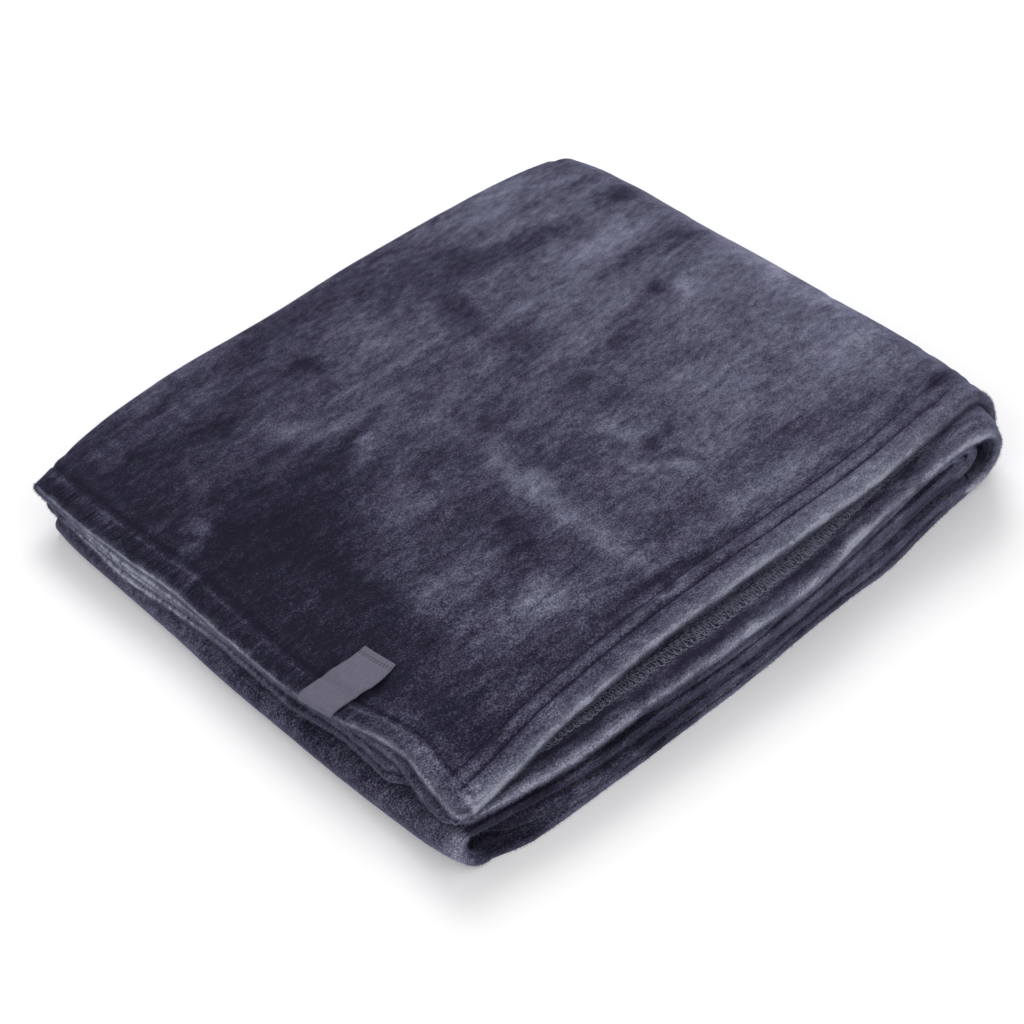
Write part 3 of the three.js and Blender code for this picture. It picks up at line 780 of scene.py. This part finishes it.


# Strokes of painted light and shade on the top: painted sheen where a hand has laid the nap one way or the
# other, painted shade along creases, and a broad painted falloff, dark at the left end and light to the
# right and back.
# Where, how long and wide in mm, turned by degrees from X, and how much lighter or darker the pile is
# painted there.
STROKES = table(
    "x y long wide turn tone",
    (-195, 20, 240, 42, 90, -0.5), (-125, 62, 70, 42, 0, -0.36), (-130, 160, 60, 30, 0, -0.18),
    (185, 60, 110, 130, 0, 0.34), (130, -75, 110, 60, 0, 0.16), (-15, -35, 66, 9, 90, 0.55),
    (-12, -112, 30, 14, 90, 0.4), (-82, 22, 26, 17, 50, 0.42), (-76, -105, 25, 12, -15, 0.5),
    (-112, -54, 42, 15, 0, 0.34), (-53, -54, 28, 13, 72, -0.48), (-40, -8, 14, 12, 0, 0.2),
    (24, -106, 28, 16, 10, -0.2), (-4, -147, 42, 4, 0, -0.5), (-22, -154, 22, 3, 0, 0.5),
    (68, -72, 20, 4, -60, -0.34), (56, -78, 22, 5, -66, 0.32), (62, -130, 18, 4, -70, 0.22),
    (135, -112, 52, 9, 2, -0.26), (100, -135, 130, 9, 0, 0.2), (108, 156, 32, 14, -30, -0.42),
    (65, 125, 24, 16, 70, -0.45), (148, 139, 18, 8, 0, -0.4), (36, 172, 20, 11, 90, -0.18),
    (-40, 196, 60, 8, 0, -0.2), (-44, 148, 18, 6, 90, -0.38), (178, 77, 30, 3.5, 2, -0.58),
    (76, 68, 22, 12, 0, -0.4), (168, 42, 9, 5, 30, -0.38), (132, 33, 16, 7, 20, -0.36),
    (190, 100, 28, 14, 0, 0.34), (165, 184, 50, 16, -8, 0.26), (183, 34, 14, 7, 45, 0.36),
    (-22, 62, 12, 11, 0, 0.26), (-62, 74, 26, 4, 22, 0.36), (-64, 84, 28, 4, 22, -0.4),
    (-64, 98, 40, 4, 0, 0.36), (-114, 152, 24, 4, 0, -0.5), (-88, 116, 16, 16, 0, 0.28),
    (-122, 182, 26, 9, 0, 0.16), (-182, 184, 10, 10, 0, 0.34), (-192, 88, 26, 6, 45, 0.5),
    (58, -32, 22, 7, 90, 0.3), (238, -10, 70, 12, 90, 0.35), (222, 68, 16, 13, 0, -0.16),
    (222, 128, 16, 11, 0, -0.45), (232, -148, 22, 10, 0, -0.4), (-150, -25, 90, 12, 90, -0.3),
    (-180, -120, 60, 16, 90, -0.25), (80, 20, 22, 12, 60, -0.12), (-224, 120, 30, 7, 90, 0.2),
    (60, 100, 62, 13, 0, -0.16), (-10, 70, 26, 9, 0, -0.16), (70, -48, 16, 8, 0, 0.34),
    (140, -22, 26, 16, 0, -0.16), (-118, 190, 22, 8, 0, -0.2), (92, 191, 42, 8, 0, 0.24),
    (192, 158, 38, 14, 0, 0.26), (-98, 32, 20, 8, 0, 0.24), (-212, 188, 10, 8, 0, 0.24),
    (-195, -126, 14, 18, 0, 0.2), (-42, -112, 12, 10, 0, 0.2), (216, -92, 22, 50, 0, 0.2),
)


def painted_nap_light(x, y):
    """Painted light and shade of the top: the nap's painted sheen, dark where it is laid away and light
    where laid towards the light, with painted crease shade and a broad painted falloff.
    """
    warp_x = 6 * noise(x / 45.0, y / 30.0, 71) + 6 * noise(x / 17.0, y / 11.0, 72)
    warp_y = 5 * noise(x / 45.0, y / 30.0, 73) + 5 * noise(x / 17.0, y / 11.0, 74)
    x = x + warp_x
    y = y + warp_y
    total = np.zeros(np.shape(x))
    for k in STROKES:
        turn = math.radians(k["turn"])
        u = (x - k["x"]) * math.cos(turn) + (y - k["y"]) * math.sin(turn)
        v = -(x - k["x"]) * math.sin(turn) + (y - k["y"]) * math.cos(turn)
        total = total + k["tone"] * np.exp(-(u / k["long"]) ** 2 - (v / k["wide"]) ** 2)
    return total


def top_share(path, first, columns):
    """Share of each place of the grid that lies on the top and round the rolled end."""
    share = np.zeros((len(path), columns))
    for i, station in enumerate(path):
        if station["number"] == "1":
            share[i] = 1 - float(ease(0.3, 0.9, station["f"])) if "turn" in station else 1.0
    share[:, :first] = 0.0
    share[:, first:] *= ease(first - 1, first + 8, np.arange(first, columns))[None, :]
    return share


def build_blanket(grid):
    """The cloth, and its flat size measured down the middle of its outside and across it."""
    mid = grid["mid"]
    s = lengths(mid[:, int(mid.shape[1] * 0.75)])
    t = lengths(mid[int(mid.shape[0] * 0.2)])
    grid["thick"] += 0.22 * noise(s[:, None] / 13.0, t[None, :] / 9.0, 31)
    share = top_share(grid["path"], grid["inside"], mid.shape[1])
    # The top carries the painted nap light and falloff; the hems carry their painted highlights and shade.
    obj = solid_mesh("throw_cloth", mid, grid["thick"], s, t,
                     {"painted_nap_light": painted_nap_light(mid[..., 0], mid[..., 1]) * share, "crest": grid["tone"],
                      "gather": grid["gather"]},
                     grid["lip"], grid["blunt"], rim=grid["rim"])
    return obj, (s[-1] / 1000, t[-1] / 1000)


def between(values, row, column):
    """Values of a grid at places between its rows and columns."""
    i = np.clip(np.floor(row).astype(int), 0, values.shape[0] - 2)
    j = np.clip(np.floor(column).astype(int), 0, values.shape[1] - 2)
    f = row - i
    g = column - j
    if values.ndim == 3:
        f = f[:, None]
        g = g[:, None]
    return mix(mix(values[i, j], values[i + 1, j], f), mix(values[i, j + 1], values[i + 1, j + 1], f), g)


def spread_along(weights, points, count, rng):
    """Places between the points of a line, as many on each stretch as its length and weight ask."""
    length = np.linalg.norm(np.diff(points, axis=0), axis=1)
    total = np.concatenate([[0.0], np.cumsum(length * (weights[1:] + weights[:-1]) / 2)])
    return np.interp(rng.uniform(0, total[-1], count), total, np.arange(len(points)))


# Number of hairs on each hem in thousands, the number of their tones, and in millimetres how
# long and wide they are, how deep they are rooted and how far they stay above the floor.
RIM_HAIRS = {"a1": 15.0, "b1": 15.0, "b2": 4.0, "a2": 3.0, "a3": 3.0, "b3": 3.0, "b4": 3.0, "a4": 2.5}
END_HAIRS = {"a1": 15.0, "b1": 9.0, "b2": 8.0, "a2": 7.0}
HAIR_TONES = 8
HAIR_LENGTH = (1.1, 2.3)
HAIR_WIDTH = 0.2
HAIR_DEPTH = 0.35
FLOOR_CLEAR = 0.05
# Share of the hairs that stand on the lip, and how far in the others reach on the average.
ON_LIP = 0.62
REACH_IN = 2.2


def hem_roots(grid, axis, far, places, rng):
    """Roots of hairs on a hem's lip and the strip of its upper face beside it.

    The hem is the first row or column of the grid, or the last one if far, and the places
    are counted along it."""
    count = len(places)
    last = grid["thick"].shape[axis] - 1
    inward = rng.exponential(REACH_IN, count)
    on_lip = rng.uniform(0, 1, count) < ON_LIP
    inward[on_lip] = 0.0
    step = np.interp(inward, HEM_CUTS, np.arange(len(HEM_CUTS)))
    border = np.full(count, float(last if far else 0))
    at = [last - step if far else step, places]
    edge = [border, places]
    if axis == 1:
        at.reverse()
        edge.reverse()
    middle = between(grid["mid"], *at)
    normal = unit(between(grid["normal"], *at))
    along = unit(between(grid[f"along{axis}"], *edge))
    away = along if far else -along
    half = between(grid["thick"], *at) / 2
    power = 2 / between(grid["blunt"], *edge)
    reach = half * between(grid["lip"], *edge)
    angle = np.pi * rng.uniform(0.02, 0.98, count)
    up = np.sign(np.cos(angle)) * np.abs(np.cos(angle)) ** power
    flip = np.where(normal[:, 2] < 0, -1.0, 1.0)
    up = np.where(on_lip, up, flip)
    over = np.where(on_lip, np.sin(angle) ** power, 0.0)
    root = middle + normal * (half * up)[:, None] + away * (reach * over)[:, None]
    facing = unit(normal * np.where(on_lip, np.cos(angle), flip)[:, None]
                  + away * np.where(on_lip, np.sin(angle), 0.15)[:, None])
    first_up = upward(grid["normal"], 5, last if far else 0) if axis == 1 else normal[:, 2] >= 0
    turn = np.where(first_up, angle, np.pi - angle)
    # The hairs take the painted light and shade of their hem, and round the lip that of the lip.
    tone = between(grid["tone"], *at)
    tone = np.where(on_lip, lip_light_and_shade(tone, between(grid["rim"], *edge), turn), tone)
    drawn = between(grid["gather"], *at)
    # Painted gather stripes on the hairs as well.
    tone = tone + 0.5 * drawn * noise(root[:, 1] / 1.6, root[:, 2] / 9.0, 98)
    return root, facing, along, tone


def hairs(name, roots, materials, rng):
    """Closed three-sided hairs standing on their roots, lying over in tufts."""
    root, facing, along, tone = (np.concatenate(part) for part in zip(*roots))
    count = len(root)
    tuft = noise(root[:, 0] / 6.0 + root[:, 2] / 4.0, root[:, 1] / 6.0, 95)
    cross = np.cross(facing, along)
    lay = cross * (0.5 * noise(root[:, 0] / 11.0, root[:, 1] / 11.0 + root[:, 2] / 5.0, 96))[:, None]
    way = unit(facing * 0.8 + along * (0.9 * tuft)[:, None] + lay + rng.normal(0, 0.28, (count, 3)))
    long = rng.uniform(*HAIR_LENGTH, count)
    first = unit(np.cross(way, rng.normal(0, 1, (count, 3))))
    second = np.cross(way, first)
    corners = [root + way * long[:, None]]
    for k in range(3):
        a = 2 * np.pi * k / 3
        out = first * math.cos(a) + second * math.sin(a)
        corners.append(root - way * HAIR_DEPTH + out * HAIR_WIDTH / 2)
    points = np.stack(corners, 1)
    points[..., 2] = np.maximum(points[..., 2], FLOOR_CLEAR + 0.02 * np.arange(4))
    start = 4 * np.arange(count)[:, None, None]
    faces = start + np.array([(0, 1, 2), (0, 2, 3), (0, 3, 1), (1, 3, 2)])[None]
    obj = add_mesh(name, points.reshape(-1, 3), faces.reshape(-1, 3).tolist())
    mesh = obj.data
    # Each hair takes the shaded or lit copy of the pile colour that its painted hem light, a random spread
    # and its tuft ask for.
    level = (0.5 + tone + 0.1 + rng.normal(0, 0.16, count) + 0.25 * tuft) / TONE_SPAN
    pick = np.clip(np.round(level * len(materials) - 0.5), 0, len(materials) - 1).astype(int)
    for material in materials:
        mesh.materials.append(material)
    mesh.polygons.foreach_set("material_index", np.repeat(pick, 4).astype(np.int32))
    lit = unit(facing * 0.8 + way * 0.2)
    mesh.normals_split_custom_set_from_vertices(np.repeat(lit, 4, 0).tolist())
    mesh.update()
    return obj


def rim_hairs(grid, materials, name, seed):
    """Hairs along the open long hem of every ply."""
    rng = np.random.default_rng(seed)
    roots = []
    for side in "ab":
        shares = [along_path(station, lambda p, x: RIM_HAIRS[side + p]) for station in grid["path"]]
        count = int(1000 * sum(value for ply, value in RIM_HAIRS.items() if ply[0] == side))
        line = grid["mid"][:, 0 if side == "b" else -1]
        places = spread_along(np.array(shares), line, count, rng)
        roots.append(hem_roots(grid, 1, side == "a", places, rng))
    return hairs(name, roots, materials, rng)


def end_hairs(grid, materials, name, seed):
    """Hairs along the end hems of the plies that have one."""
    rng = np.random.default_rng(seed)
    columns = np.arange(grid["mid"].shape[1])
    roots = []
    for ply, thousands in END_HAIRS.items():
        far = ply[1] == "2"
        mine = columns < grid["inside"] if ply[0] == "b" else columns >= grid["inside"]
        places = spread_along(mine.astype(float), grid["mid"][-1 if far else 0], int(1000 * thousands), rng)
        roots.append(hem_roots(grid, 0, far, places, rng))
    return hairs(name, roots, materials, rng)


def tube(points, radius):
    """Vertices and faces of a closed tube along a line of points."""
    n = len(points)
    way = unit(np.gradient(points, axis=0))
    first = unit(np.cross(way, np.array([0.31, 0.17, 0.94])))
    second = np.cross(way, first)
    angle = 2 * np.pi * np.arange(THREAD_SIDES) / THREAD_SIDES
    ring = first[:, None] * np.cos(angle)[None, :, None] + second[:, None] * np.sin(angle)[None, :, None]
    vertices = (points[:, None] + radius * ring).reshape(-1, 3)
    ids = np.arange(n * THREAD_SIDES).reshape(n, THREAD_SIDES)
    after = np.roll(ids, -1, 1)
    faces = np.stack([ids[:-1], after[:-1], after[1:], ids[1:]], -1).reshape(-1, 4).tolist()
    return vertices, faces + [list(ids[0][::-1]), list(ids[-1])]


def thread_mesh(name, lines, radius, material):
    vertices = []
    faces = []
    count = 0
    for line in lines:
        v, f = tube(line, radius)
        vertices.append(v)
        faces += [[k + count for k in face] for face in f]
        count += len(v)
    obj = add_mesh(name, np.concatenate(vertices), faces)
    obj.data.materials.append(material)
    obj.data.update()
    return obj


# The looping threads of the long hem, seen on the inside of the second ply: the length of
# hem they show on, the length of a loop, and for each thread its phase, its loops to a
# stitch, its swings along and across, and its distance in from the edge.
LATTICE_RUN = (-185.0, 190.0)
LATTICE_PITCH = 4.6
LATTICE = table(
    "phase loops along across place",
    (0.0, 1, 1.7, 1.5, 16.8), (2.4, 1, 1.7, 1.5, 23.2), (1.1, 2, 1.3, 4.5, 20.0),
)
# Width and colour of the two kinds of thread, and the sides of their tubes.
THREAD = 0.34
THREAD_COLOUR = (0.23, 0.235, 0.31)
LABEL_THREAD = 0.4
LABEL_THREAD_COLOUR = (0.045, 0.043, 0.055)
THREAD_SIDES = 5


def lattice_lines():
    """Chained loops: two rows of stitches and the thread that crosses back and forth between them."""
    n = round((LATTICE_RUN[1] - LATTICE_RUN[0]) / LATTICE_PITCH)
    turn = np.linspace(0, 2 * np.pi * n, n * 18 + 1)
    start = LATTICE_RUN[0] + LATTICE_PITCH * turn / (2 * np.pi)
    lines = []
    for row in LATTICE:
        phase = row["phase"]
        u = turn + phase + 0.9 * noise(turn / 8.0, 3.3 + phase, 54)
        size = 1 + 0.35 * noise(turn / 7.0, 6.1 + phase, 57)
        x = start + row["along"] * size * np.sin(row["loops"] * u) + 0.5 * noise(turn / 9.0, 2.2 + phase, 55)
        y = edge_curves["b1"](start) + row["place"] - row["across"] * size * np.cos(u)
        y = y + 0.5 * noise(turn / 11.0, 7.2 + phase, 56)
        z = top_surface("b1", x, y) + 0.2 + 0.35 * np.cos(2 * u + 1.3)
        lines.append(np.stack([x, y, z], -1))
    return lines


# Woven label over the end hem of the top ply: distance in from the hem's edge, height of
# its underside above the cloth and the y of its two long sides.
LABEL_THICK = 0.8
LABEL_WIDTH = 28.0
LABEL_GRID = (40, 23)
LABEL_MIDDLE = 11
LABEL_RUN = table(
    "inward up left right",
    (-2.5, -1.9, -53.5, -81.1), (-2.0, -0.6, -53.4, -81.1),
    (-0.6, 0.5, -53.3, -81.0), (3.0, 1.0, -53.2, -81.0),
    (10.0, 1.5, -54.0, -81.6), (19.0, 2.9, -55.6, -83.0),
    (28.0, 3.9, -56.8, -84.4), (37.0, 2.2, -56.2, -82.8),
    (45.0, 1.0, -55.2, -80.6), (50.0, 0.8, -54.6, -79.2),
)
# Its two sewn rows, by their distance from the far end, the stitches in each, half the
# share of the width that one takes, and the height of its thread from end to end.
LABEL_ROWS = (4.2, 6.0)
LABEL_STITCHES = 11
STITCH_HALF = 0.032
STITCH_HEIGHTS = (-0.12, 0.06, 0.14, 0.16, 0.14, 0.06, -0.12)


def top_surface(ply, x, y):
    """Height of the upper face of a ply."""
    from_end = x - end_curves[ply](y)
    t, lift = thickness_at(ply, y - edge_curves[ply](x), from_end, x, y)
    return ply_height(ply, x, y, t) + lift + t / 2


def build_label():
    """The label, its flat size and its middle points."""
    rows, columns = LABEL_GRID
    run = curves([dict(row, k=n) for n, row in enumerate(LABEL_RUN)], "k")
    at = np.linspace(0, len(LABEL_RUN) - 1, rows)[:, None]
    share = np.linspace(0, 1, columns)
    y = mix(run["left"](at), run["right"](at), share[None, :])
    inward = np.repeat(run["inward"](at), columns, 1)
    edge = end_curves["a1"](y)
    x = edge + inward
    base = np.array([top_surface("a1", np.maximum(x[i], edge[i]), y[i]) for i in range(rows)])
    from_far = LABEL_RUN[-1]["inward"] - inward
    ripple = 0.35 * noise(inward / 9.0, share[None, :] * 2.6, 61) * bell(inward, 22, 18)
    sewn = sum(0.3 * bell(from_far, row, 0.7) for row in LABEL_ROWS)
    z = base + run["up"](at) + LABEL_THICK / 2 + ripple - sewn
    mid = np.stack([x, y, z], -1)
    s = lengths(mid[:, LABEL_MIDDLE])
    obj = solid_mesh("woven_tab", mid, np.full(x.shape, LABEL_THICK), s, share * LABEL_WIDTH,
                     {}, lip=0.5, blunt=LIP_BLUNT, sections=3)
    return obj, (LABEL_WIDTH / 1000, s[-1] / 1000), mid


def label_stitches(mid):
    """Short stitches of the rows that hold the far end of the label."""
    from_far = np.linalg.norm(mid[:, LABEL_MIDDLE] - mid[-1, LABEL_MIDDLE], axis=1)
    n = len(STITCH_HEIGHTS)
    lines = []
    for place in LABEL_ROWS:
        row = np.interp(place, from_far[::-1], np.arange(len(mid))[::-1])
        for k in range(LABEL_STITCHES):
            share = (0.5 + k + 0.2 * noise(k * 1.7, place, 62)) / LABEL_STITCHES
            column = (mid.shape[1] - 1) * (share + np.linspace(-STITCH_HALF, STITCH_HALF, n))
            points = between(mid, np.full(n, row + 0.12 * float(noise(k * 2.3, place, 63))), column)
            points[:, 2] += LABEL_THICK / 2 + np.array(STITCH_HEIGHTS)
            lines.append(points)
    return lines


class Shading:
    """One material and its nodes. The inputs of a node are named with _ for each space."""

    def __init__(self, name):
        self.material = bpy.data.materials.new(name)
        self.material.use_nodes = True
        self.nodes = self.material.node_tree.nodes
        self.shader = self.nodes["Principled BSDF"]

    def put(self, slot, value):
        """Links an input to an output, or sets it to a number."""
        if isinstance(value, bpy.types.NodeSocket):
            self.material.node_tree.links.new(value, slot)
        else:
            slot.default_value = value

    def fill(self, node, **inputs):
        for name, value in inputs.items():
            self.put(node.inputs[name.replace("_", " ")], value)
        return node

    def new(self, kind, **inputs):
        return self.fill(self.nodes.new("ShaderNode" + kind), **inputs)

    def math(self, operation, *values):
        node = self.new("Math")
        node.operation = operation
        for slot, value in zip(node.inputs, values):
            self.put(slot, value)
        return node.outputs[0]

    def add(self, total, *layers):
        """Adds values, each with its weight, to a total."""
        for value, weight in layers:
            total = self.math("ADD", total, self.math("MULTIPLY", value, weight))
        return total

    def noise(self, vector, scale, stretch, detail=3.0, rough=0.55, distortion=0.0, upright=1.0):
        """Noise about 0, drawn out along X, and along Z where upright is above 1."""
        size = (scale / stretch, scale, scale / upright)
        place = self.new("Mapping", Vector=vector, Scale=size).outputs[0]
        node = self.new("TexNoise", Vector=place, Scale=1.0, Detail=detail, Roughness=rough,
                        Distortion=distortion)
        return self.math("SUBTRACT", node.outputs["Fac"], 0.5)

    def attribute(self, name):
        node = self.new("Attribute")
        node.attribute_name = name
        return node.outputs["Fac"]

    def ramp(self, level, colours):
        """Colour at a level, from rows of a level and the colour there."""
        node = self.new("ValToRGB", Fac=level)
        elements = node.color_ramp.elements
        while len(elements) < len(colours):
            elements.new(0.5)
        for element, (place, *colour) in zip(elements, colours):
            element.position = place
            element.color = (*colour, 1)
        return node.outputs[0]

    def bump(self, height, strength, distance):
        return self.new("Bump", Height=height, Strength=strength, Distance=distance).outputs[0]


def plain_material(name, colour, **inputs):
    shading = Shading(name)
    shading.fill(shading.shader, Base_Color=(*colour, 1), **inputs)
    return shading.material


# Colour of the pile from its darkest painted shade to its lightest painted highlight, on a scale from
# 0 to 1 that takes a tone up to the span, and the soft sheen of its fibres.
NAP_COLOURS = (
    (0.0, 0.0075, 0.006, 0.0155), (0.16, 0.0165, 0.0145, 0.032), (0.32, 0.037, 0.035, 0.0625),
    (0.47, 0.075, 0.075, 0.116), (0.63, 0.127, 0.131, 0.188), (0.82, 0.22, 0.225, 0.295),
    (1.0, 0.4, 0.41, 0.5),
)
TONE_SPAN = 1.6
SOFT_SHEEN = dict(Roughness=0.9, Specular_IOR_Level=0.12, Sheen_Weight=0.5, Sheen_Roughness=0.35,
                  Sheen_Tint=(0.48, 0.5, 0.78, 1))

# Mottles of the nap: their number to a metre, how much longer they are along X, the detail,
# roughness and warp of their noise, and how much they count.
MOTTLES = (
    (12.0, 1.7, 1.0, 0.5, 0.6, 0.65), (31.0, 2.2, 1.0, 0.5, 0.6, 0.18),
    (95.0, 2.6, 1.5, 0.5, 0.4, 0.55), (260.0, 2.0, 1.5, 0.6, 0.0, 0.75),
)
# Tone of the pile where nothing changes it, and how much the strokes of painted nap light and shade count.
TONE_MEAN = 0.545
STROKE_WEIGHT = 0.87
# Fine grain: its strength at the middle, and how that changes to a metre along X and Y.
GRAIN = 1.05
GRAIN_FADE = (-1.8, -2.4)
# Where partings start to darken the pile, the tone at which the painted light of the gathers stops, and the
# hue.
PARTING = 0.09
GATHER_TOP = 0.08
HUE_MIDDLE = 0.502
HUE_SWING = 0.055


def hair_materials():
    """Plain materials for the hairs: shaded to lit copies of the pile colour, from its darkest painted shade
    to its lightest painted highlight.
    """
    place, *channels = np.array(NAP_COLOURS).T
    levels = [(k + 0.5) / HAIR_TONES for k in range(HAIR_TONES)]
    return [plain_material(f"pile_hair_{k + 1}", [float(np.interp(level, place, c)) for c in channels],
                           **SOFT_SHEEN) for k, level in enumerate(levels)]


def thread_material(name, colour):
    return plain_material(name, colour, Roughness=0.6)


def plush_material():
    """Pile with painted light and shade: one tone from the strokes of painted nap light, the painted light
    of the hems and gathers, and from its mottles.
    """
    shading = Shading("plush")
    vector = shading.new("TexCoord").outputs["Object"]
    layers = [(shading.noise(vector, *size), weight) for *size, weight in MOTTLES]
    place = shading.new("SeparateXYZ", Vector=vector).outputs
    near = shading.math("MULTIPLY_ADD", place[1], GRAIN_FADE[1], GRAIN)
    near = shading.math("ADD", near, shading.math("MULTIPLY", place[0], GRAIN_FADE[0]))
    grain = shading.noise(vector, 900.0, 1.3, 1.0, 0.6)
    layers.append((shading.math("MULTIPLY", grain, near), 1.0))
    parted = shading.math("MAXIMUM", shading.noise(vector, 62.0, 4.5, 1.5, 0.5, 0.3), PARTING)
    layers.append((shading.math("SUBTRACT", parted, PARTING), -1.25))
    # Painted light and shade of fine gathers: stripes drawn out up and down where the sewing gathers the
    # hems; the same stripes also roughen the bump.
    folds = shading.noise(vector, 310.0, 8.0, 1.5, 0.55, 0.5, upright=8.0)
    folds = shading.math("MINIMUM", folds, GATHER_TOP)
    folds = shading.math("MULTIPLY", folds, shading.attribute("gather"))
    layers.append((folds, 2.2))
    # The strokes of painted nap light and shade, weighted, on the mean tone.
    tone = shading.math("MULTIPLY_ADD", shading.attribute("painted_nap_light"), STROKE_WEIGHT, TONE_MEAN)
    # Adds the painted light and shade of the hems and lips, with their random patches.
    tone = shading.add(shading.math("ADD", tone, shading.attribute("crest")), *layers)
    colour = shading.ramp(shading.math("DIVIDE", tone, TONE_SPAN), NAP_COLOURS)
    hue = shading.noise(vector, 58.0, 2.5, 1.2, 0.6, 0.5)
    hue = shading.math("MULTIPLY_ADD", hue, HUE_SWING, HUE_MIDDLE)
    cast = shading.new("HueSaturation", Hue=hue, Color=colour)
    pile = shading.math("MULTIPLY", shading.noise(vector, 1500.0, 1.2, 2.0, 0.7), 0.0005)
    pile = shading.add(pile, (layers[2][0], 0.0012), (folds, 0.004))
    shading.fill(shading.shader, Base_Color=cast.outputs[0], Normal=shading.bump(pile, 0.8, 1.0),
                 **SOFT_SHEEN)
    return shading.material


# Colours of the ribbon between its ribs and on them, and half its width up to the selvedge in m.
RIBBON_COLOURS = ((0.0, 0.094, 0.09, 0.13), (0.6, 0.186, 0.179, 0.25))
TO_SELVEDGE = 0.0127


def label_material():
    """Ribbon woven of fine ribs across its length, with closer selvedges."""
    shading = Shading("woven_ribbon")
    uv = shading.new("UVMap")
    uv.uv_map = "sheet"
    uv = uv.outputs[0]

    def bands(way, scale, distortion, detail):
        node = shading.new("TexWave", Vector=uv, Scale=scale, Distortion=distortion, Detail=detail)
        node.bands_direction = way
        return node.outputs["Fac"]

    weave = shading.math("MULTIPLY", bands("X", 370.0, 0.6, 1.0), bands("Y", 520.0, 0.8, 2.0))
    across = shading.new("SeparateXYZ", Vector=uv).outputs[1]
    off = shading.math("ABSOLUTE", shading.math("SUBTRACT", across, LABEL_WIDTH / 2000))
    selvedge = shading.math("GREATER_THAN", off, TO_SELVEDGE)
    level = shading.math("MULTIPLY", weave, 0.5)
    level = shading.add(level, (shading.noise(uv, 600.0, 3.0), 0.6))
    level = shading.math("SUBTRACT", level, shading.math("MULTIPLY", selvedge, 0.12))
    shading.fill(shading.shader, Base_Color=shading.ramp(level, RIBBON_COLOURS), Roughness=0.55,
                 Specular_IOR_Level=0.35, Normal=shading.bump(weave, 0.7, 0.00025))
    return shading.material


def floor_material():
    return plain_material("pale_floor", (0.93, 0.93, 0.94), Roughness=0.7, Specular_IOR_Level=0.2,
                          Emission_Color=(1, 1, 1, 1), Emission_Strength=0.08)


# Side of the floor in metres, strength of the white sky, and the name, place, size and power
# in watts of each light.
FLOOR_SIDE = 14
SKY = 0.55
LIGHTS = (
    ("key", (1.1, 1.5, 2.3), 1.6, 42), ("fill", (-2.0, -0.6, 1.7), 2.0, 18),
    ("front", (0.6, -2.2, 1.5), 2.0, 10),
)


def floor_and_lights():
    bpy.ops.mesh.primitive_plane_add(size=FLOOR_SIDE, location=(0, 0, 0))
    floor = bpy.context.object
    floor.name = "floor"
    floor.data.materials.append(floor_material())
    world = bpy.data.worlds.new("studio")
    bpy.context.scene.world = world
    world.use_nodes = True
    sky = world.node_tree.nodes["Background"]
    sky.inputs["Color"].default_value = (1, 1, 1, 1)
    sky.inputs["Strength"].default_value = SKY
    for name, place, size, power in LIGHTS:
        light = bpy.data.lights.new(name, "AREA")
        light.energy = power
        light.size = size
        obj = add_object(name, light)
        obj.location = place
        obj.rotation_euler = (-Vector(place)).to_track_quat("-Z", "Y").to_euler()
    return floor


# Camera solved from the outline: focal length and picture width in pixels, width of the
# sensor in mm, angles in degrees, the place on the floor it looks at in mm, distance in m.
FOCAL_PX = 3006
PICTURE_PX = 1024
SENSOR = 36
AZIMUTH = -43.60
ELEVATION = 44.63
LOOKS_AT = (-3.128, 0.322)
DISTANCE = 1.93246


def camera():
    azimuth, elevation = math.radians(AZIMUTH), math.radians(ELEVATION)
    back = Vector((math.sin(azimuth) * math.cos(elevation), -math.cos(azimuth) * math.cos(elevation),
                   math.sin(elevation)))
    data = bpy.data.cameras.new("camera")
    data.sensor_width = SENSOR
    data.lens = FOCAL_PX / PICTURE_PX * SENSOR
    data.clip_end = 50
    obj = add_object("camera", data)
    target = Vector((LOOKS_AT[0] + SHIFT[0], LOOKS_AT[1] + SHIFT[1], 0)) / 1000
    obj.location = target + back * DISTANCE
    obj.rotation_euler = back.to_track_quat("Z", "Y").to_euler()
    bpy.context.scene.camera = obj


camera()
floor = floor_and_lights()
bpy.context.scene.view_settings.view_transform = "Standard"

grid = cloth_grid()
cloth, cloth_flat = build_blanket(grid)
cloth.data.materials.append(plush_material())
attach(cloth, "root")
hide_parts("blanket")

tones = hair_materials()
on_cloth = [rim_hairs(grid, tones, "rim_pile", 301),
            end_hairs(grid, tones, "end_pile", 302),
            thread_mesh("hem_stitches", lattice_lines(), THREAD / 2,
                        thread_material("sewing_thread", THREAD_COLOUR))]
for piece in on_cloth:
    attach(piece, "root")

tab, tab_flat, tab_mid = build_label()
tab.data.materials.append(label_material())
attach(tab, "root")
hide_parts("label")
tab_rows = thread_mesh("tab_stitches", label_stitches(tab_mid), LABEL_THREAD / 2,
                       thread_material("tab_thread", LABEL_THREAD_COLOUR))
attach(tab_rows, "root")
